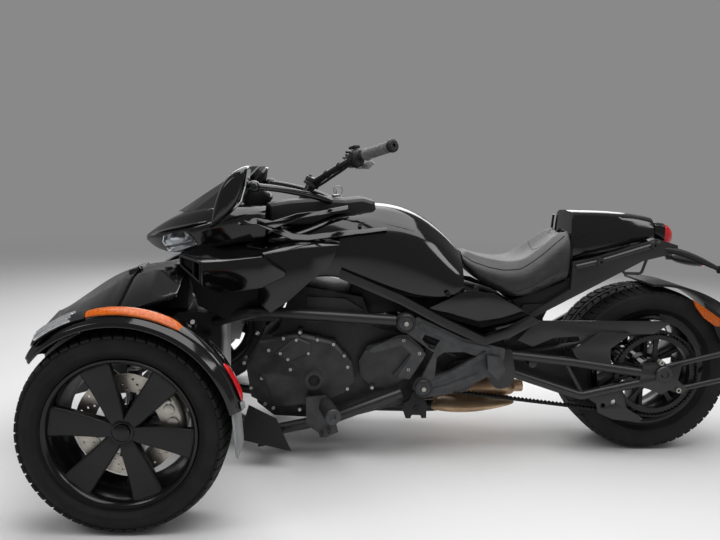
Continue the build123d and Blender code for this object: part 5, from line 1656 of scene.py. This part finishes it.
def makeSilencer():
    # two flat cans side by side: the near one tapers off, the far one carries the outlet
    sections = {
        -0.006: [
            (0.935, 0.126, 0.026, 0.012), (0.95, 0.129, 0.04, 0.02), (0.985, 0.132, 0.058, 0.026),
            (1.03, 0.132, 0.064, 0.0275), (1.09, 0.134, 0.064, 0.0265), (1.15, 0.14, 0.061, 0.0215),
            (1.21, 0.148, 0.054, 0.014), (1.236, 0.1515, 0.046, 0.009), (1.243, 0.1525, 0.03, 0.005),
        ],
        0.087: [
            (0.935, 0.129, 0.027, 0.02), (0.96, 0.134, 0.045, 0.029), (1.0, 0.148, 0.059, 0.04),
            (1.05, 0.168, 0.064, 0.045), (1.1, 0.179, 0.064, 0.043), (1.18, 0.181, 0.064, 0.042),
            (1.235, 0.179, 0.062, 0.039), (1.262, 0.177, 0.054, 0.031), (1.27, 0.177, 0.034, 0.018),
        ],
    }
    cans = []
    for side, stations in sections.items():
        rings = []
        for station, height, wide, tall in stations:
            rings.append(ovalRing(station, side, height, wide, tall, 24))
        can = loftRings("silencerCan", rings, levels=1)
        band = turnedAlong("silencerBand", spot(0.944, side, 0.129), (1, 0, 0.04), [
            (0, 0.018), (0, 0.0255), (0.012, 0.0265), (0.014, 0.024), (0.014, 0.018),
        ])
        cans += [can, band]
    cans.append(turnedAlong("silencerTip", spot(1.258, 0.087, 0.177), (1, 0, 0.03), [
        (0, 0.024), (0.044, 0.024), (0.046, 0.0225), (0.044, 0.0205), (0.01, 0.0205), (0.01, 0), (0, 0),
    ]))
    pipe = runPipe("exhaustPipe", [
        spot(0.56, 0.04, 0.14), spot(0.6, 0.04, 0.112), spot(0.7, 0.04, 0.106), spot(0.8, 0.04, 0.106),
        spot(0.88, 0.02, 0.112),
        spot(0.95, -0.004, 0.124),
    ], 0.0225)
    fork = runPipe("exhaustBranch",
        [spot(0.8, 0.04, 0.106), spot(0.87, 0.06, 0.11), spot(0.95, 0.085, 0.128)], 0.0215)
    dress(joinPieces("exhaustPipes", [pipe, fork]), "frame_black", "chassis")
    whole = joinPieces("silencer", cans)
    smooth(whole, 35)
    dress(whole, "heat_tinted_steel", "chassis", "muffler")


def makeShock(name, foot, top, node, spring, body="chassis", across=(1, 0, 0)):
    foot, top = Vector(foot), Vector(top)
    way = (top - foot).normalized()
    reach = (top - foot).length
    aside = way.cross(Vector(across)).normalized()
    beside = way.cross(aside)
    coil = []
    steps = int(spring["turns"] * 10)
    for step in range(steps + 1):
        turn = 2 * math.pi * step / 10
        along = spring["from"] + (spring["to"] - spring["from"]) * step / steps
        coil.append(
            foot + way * along + (aside * math.cos(turn) + beside * math.sin(turn)) * spring["radius"]
        )
    parts = [
        runPipe("springCoil", coil, spring["wire"], sides=2),
        turnedAlong("shockBody", foot, way, [
            (0.012, 0), (0.012, 0.014), (0.03, 0.019), (spring["from"] - 0.008, 0.02),
            (spring["from"] - 0.006, spring["radius"]),
            (spring["from"] - 0.001, spring["radius"]), (spring["from"] + 0.001, 0.022),
            (spring["to"] * 0.62, 0.021),
            (spring["to"] * 0.63, 0.017), (spring["to"] * 0.64, 0.009), (spring["to"] - 0.003, 0.009),
            (spring["to"] + 0.001, spring["radius"]), (spring["to"] + 0.006, spring["radius"]),
            (spring["to"] + 0.014, 0.016),
            (reach - 0.01, 0.013), (reach - 0.01, 0),
        ]),
    ]
    for end in (foot, top):
        parts.append(turnedAlong("shockEye", end - Vector(across) * 0.016, across, [
            (0, 0), (0, 0.009), (0.002, 0.016), (0.03, 0.016), (0.032, 0.009), (0.032, 0),
        ]))
    whole = joinPieces(name, parts)
    smooth(whole, 35)
    dress(whole, "spring_black", body, node)


def makeShocks():
    front = {"from": 0.055, "to": 0.3, "turns": 8, "radius": 0.0285, "wire": 0.0045}
    for name, way in (("frontShockLeft", -1), ("frontShockRight", 1)):
        makeShock(name, spot(0, way * 0.42, 0.16), spot(0, way * 0.214, 0.442), "front_shocks", front)
    rear = {"from": 0.04, "to": 0.15, "turns": 5, "radius": 0.0265, "wire": 0.0045}
    makeShock("rearShock", spot(1.262, 0, 0.345), spot(1.226, 0, 0.52), "rear_shock", rear, across=(0, 1, 0))


def makeIntakes():
    # a wedge whose lid slopes outwards, with a framed mouth of slats and a divider
    intake = {"frame": 0.007, "slats": 4}
    sections = [
        (0.049, [(0.15, 0.713), (0.222, 0.7), (0.222, 0.664), (0.15, 0.66)]),
        (0.139, [(0.15, 0.738), (0.3115, 0.688), (0.309, 0.612), (0.15, 0.604)]),
        (0.2, [(0.155, 0.738), (0.32, 0.694), (0.316, 0.59), (0.155, 0.582)]),
        (0.328, [(0.17, 0.729), (0.33, 0.713), (0.316, 0.61), (0.17, 0.596)]),
        (0.402, [(0.17, 0.66), (0.299, 0.66), (0.292, 0.645), (0.17, 0.64)]),
    ]
    rings = [[spot(station, -side, height) for side, height in ring] for station, ring in sections]
    shell = loftRings("intakeShellLeft", rings, bevel=0.004)
    # the mouth is sunk into the slanted front face
    corners = [Vector(rings[0][1]), Vector(rings[1][1]), Vector(rings[1][2]), Vector(rings[0][2])]
    middle = sum(corners, Vector()) / 4
    normal = (corners[1] - corners[0]).cross(corners[2] - corners[0]).normalized()
    if normal.x > 0:
        normal = -normal
    mouth = [corner.lerp(middle, 0.16) for corner in corners]
    cutter = cutOutline("intakeMouth", [place + normal * 0.01 for place in mouth], -normal * 0.045)
    cutAway(shell, cutter)
    smooth(shell, 30)
    dress(shell, "gloss_black", "chassis", "side_intakes")
    frameParts = []
    for begin, end in zip(mouth, mouth[1:] + mouth[:1]):
        frameParts.append(runPipe("mouthEdge", [begin, begin.lerp(end, 0.5), end], intake["frame"] * 0.45,
            sides=2))
    for index in range(1, intake["slats"] + 1):
        share = index / (intake["slats"] + 1)
        left = mouth[0].lerp(mouth[3], share) - normal * 0.008
        right = mouth[1].lerp(mouth[2], share) - normal * 0.008
        right = left.lerp(right, 0.62)
        frameParts.append(cutOutline("slat", [
            left, right, right - normal * 0.02 + Vector((0, 0, 0.004)),
            left - normal * 0.02 + Vector((0, 0, 0.004)),
        ], (0, 0, 0.0035), 0.0006))
    high, low = mouth[0].lerp(mouth[1], 0.62), mouth[3].lerp(mouth[2], 0.62)
    frameParts.append(runPipe("mouthPost",
        [high - normal * 0.004, low - normal * 0.004, low - normal * 0.004], 0.0035, sides=2))
    mesh = joinPieces("intakeMouthLeft", frameParts)
    dress(mesh, "black_plastic", "chassis")
    bothSides([shell, mesh])


def makeLidSeal():
    ring = [(0.07, 0.595), (0.155, 0.579), (0.322, 0.509), (0.322, 0.504), (0.155, 0.574), (0.07, 0.59)]
    rings = [[spot(station, -side, height + lift) for side, height in ring]
        for station, lift in ((-0.147, 0), (-0.098, 0.0155))]
    seal = loftRings("lidSealLeft", rings, bevel=0.001)
    dress(seal, "black_plastic", "chassis")
    bothSides([seal])


def makePedalStops():
    # the small bracket that hangs from each lower pivot
    outline = [
        (0.806, 0.202), (0.828, 0.215), (0.836, 0.242), (0.872, 0.242), (0.878, 0.215), (0.888, 0.205),
        (0.889, 0.15), (0.872, 0.149), (0.868, 0.16), (0.838, 0.16), (0.834, 0.148), (0.817, 0.148),
        (0.807, 0.176),
    ]
    stop = cutOutline("pedalStopLeft", [spot(s, -0.215, h) for s, h in outline], (0, 0.024, 0), 0.002)
    pin = boltHead("pedalStopPin", spot(0.853, -0.214, 0.186), 0.009, 0.008)
    whole = joinPieces("pedalStopLeft", [stop, pin])
    dress(whole, "black_plastic", "chassis")
    bothSides([whole])


def makeInnerShield():
    outline = [(0.06, 0.66), (0.1, 0.52), (0.2, 0.47), (0.36, 0.47), (0.42, 0.58), (0.4, 0.66)]
    shield = cutOutline("innerShieldLeft", [spot(s, -0.17, h) for s, h in outline], (0, 0.005, 0), 0.0015)
    dress(shield, "black_plastic", "chassis")
    bothSides([shield])


def makePedals():
    base = spot(0.54, -0.238, 0.2)
    ribs = []
    for step in range(8):
        at = 0.012 + step * 0.0105
        ribs += [(at, 0.0245), (at + 0.002, 0.0265), (at + 0.006, 0.0265), (at + 0.008, 0.0245)]
    peg = turnedAlong("pegSleeveLeft", base, (0.25, -1, -0.05),
        [(0.004, 0), (0.004, 0.024)] + ribs + [(0.1, 0.026), (0.1, 0.0)])
    dress(peg, "grip_rubber", "chassis")
    end = turnedAlong("pegEndLeft", base, (0.25, -1, -0.05), [
        (0.1, 0), (0.1, 0.0255), (0.104, 0.0265), (0.107, 0.0235), (0.107, 0.01), (0.104, 0.008), (0.104, 0),
    ])
    dress(end, "cast_grey", "chassis")
    bolts = joinPieces("pegBoltsLeft", [
        boltHead("pegBolt", spot(station, -0.2495, height), 0.008, 0.007)
        for station, height in ((0.529, 0.1), (0.554, 0.113))
    ])
    dress(bolts, "frame_black", "chassis")
    bothSides([peg, end, bolts])


def makeArmShield():
    # closes the view between the swingarm's tubes, inside the belt and beside the tyre
    outline = [
        (1.0, 0.31), (1.0, 0.38), (1.1, 0.4), (1.165, 0.425), (1.19, 0.445), (1.228, 0.54), (1.325, 0.545),
        (1.302, 0.49), (1.31, 0.44), (1.375, 0.4), (1.4, 0.345), (1.436, 0.225), (1.18, 0.3),
    ]
    shield = cutOutline("armShieldLeft", [spot(s, -0.124, h) for s, h in outline], (0, 0.005, 0), 0.0015)
    dress(shield, "black_plastic", bodyOf["swingarm"])
    bothSides([shield], bodyOf["swingarm"])


def makeRearDetails():
    # quarter ring guard over the sprocket, hub cover, and the bolts of the carrier behind
    outer = [(1.701, 0.524), (1.745, 0.517), (1.79, 0.494), (1.83, 0.456), (1.865, 0.402)]
    inner = [(1.832, 0.411), (1.806, 0.447), (1.776, 0.474), (1.744, 0.489), (1.712, 0.495)]
    guard = cutOutline("sprocketGuard", [spot(s, -0.1585, h) for s, h in outer + inner], (0, -0.006, 0),
        0.0015)
    bolt = boltHead("guardBolt", spot(1.72, -0.164, 0.509), 0.008, 0.006)
    whole = joinPieces("sprocketGuard", [guard, bolt])
    carried = bodyOf["swingarm"]
    dress(whole, "black_plastic", carried)
    knob = turnedAlong("hubCoverLeft", spot(1.727, -0.186, 0.313), (0, -1, 0), [
        (0, 0), (0, 0.03), (0.006, 0.0305), (0.01, 0.027), (0.01, 0.014), (0.006, 0.012), (0.006, 0),
    ])
    dress(knob, "frame_black", carried)
    bolts = [boltHead("strutBolt", spot(s, -0.172, h), 0.009, 0.02)
        for s, h in ((1.713, 0.355), (1.784, 0.256))]
    hardware = joinPieces("strutBoltsLeft", bolts)
    dress(hardware, "castSilver", carried)
    plate = boltHead("gussetBoltLeft", spot(1.469, -0.163, 0.392), 0.01, 0.012)
    dress(plate, "frame_black", carried)
    bothSides([knob, hardware, plate], carried)


makeEngineDetails()
makeSilencer()
makeShocks()
makeIntakes()
makeLidSeal()
makeInnerShield()
makePedalStops()
makePedals()
makeArmShield()
makeRearDetails()
print("engine, springs and rear details built")


# CAD nodes that keep their form get a merged copy with eased edges
eased = {
    "front_subframe": 0.003, "suspension_arms": 0.0008, "frame_tubes": 0.0015, "side_castings": 0.0025,
    "engine_block": 0.004, "engine_covers": 0.002, "swingarm": 0.0015, "front_pulley": 0.0008,
    "storage_tub": 0.002, "nose_fascia": 0.003, "windscreen": 0.002, "console": 0.003, "tail_frame": 0.002,
    "seat_base": 0.004, "rear_fender": 0.002, "plate_holder": 0.0015, "footpegs": 0.002,
    "splash_flaps": 0.0008, "knuckle_left": 0.0015, "knuckle_right": 0.0015, "storage_lid": 0.003,
    "hood_shroud": 0.003,
}


def easeNodes():
    for node, width in eased.items():
        slot = next(s["material_slot"] for s in frame["record"]["subparts"] if s["node"] == node)
        words = node.split("_")
        piece = refineNode(node, words[0] + "".join(w.title() for w in words[1:]) + "Eased", width)
        dress(piece, slot, bodyOf[node], node)


easeNodes()
for node in nodes.values():
    for index, holder in enumerate(node.material_slots):
        holder.material = finishes.get(holder.material.name.split(".")[0], finishes["black_plastic"])
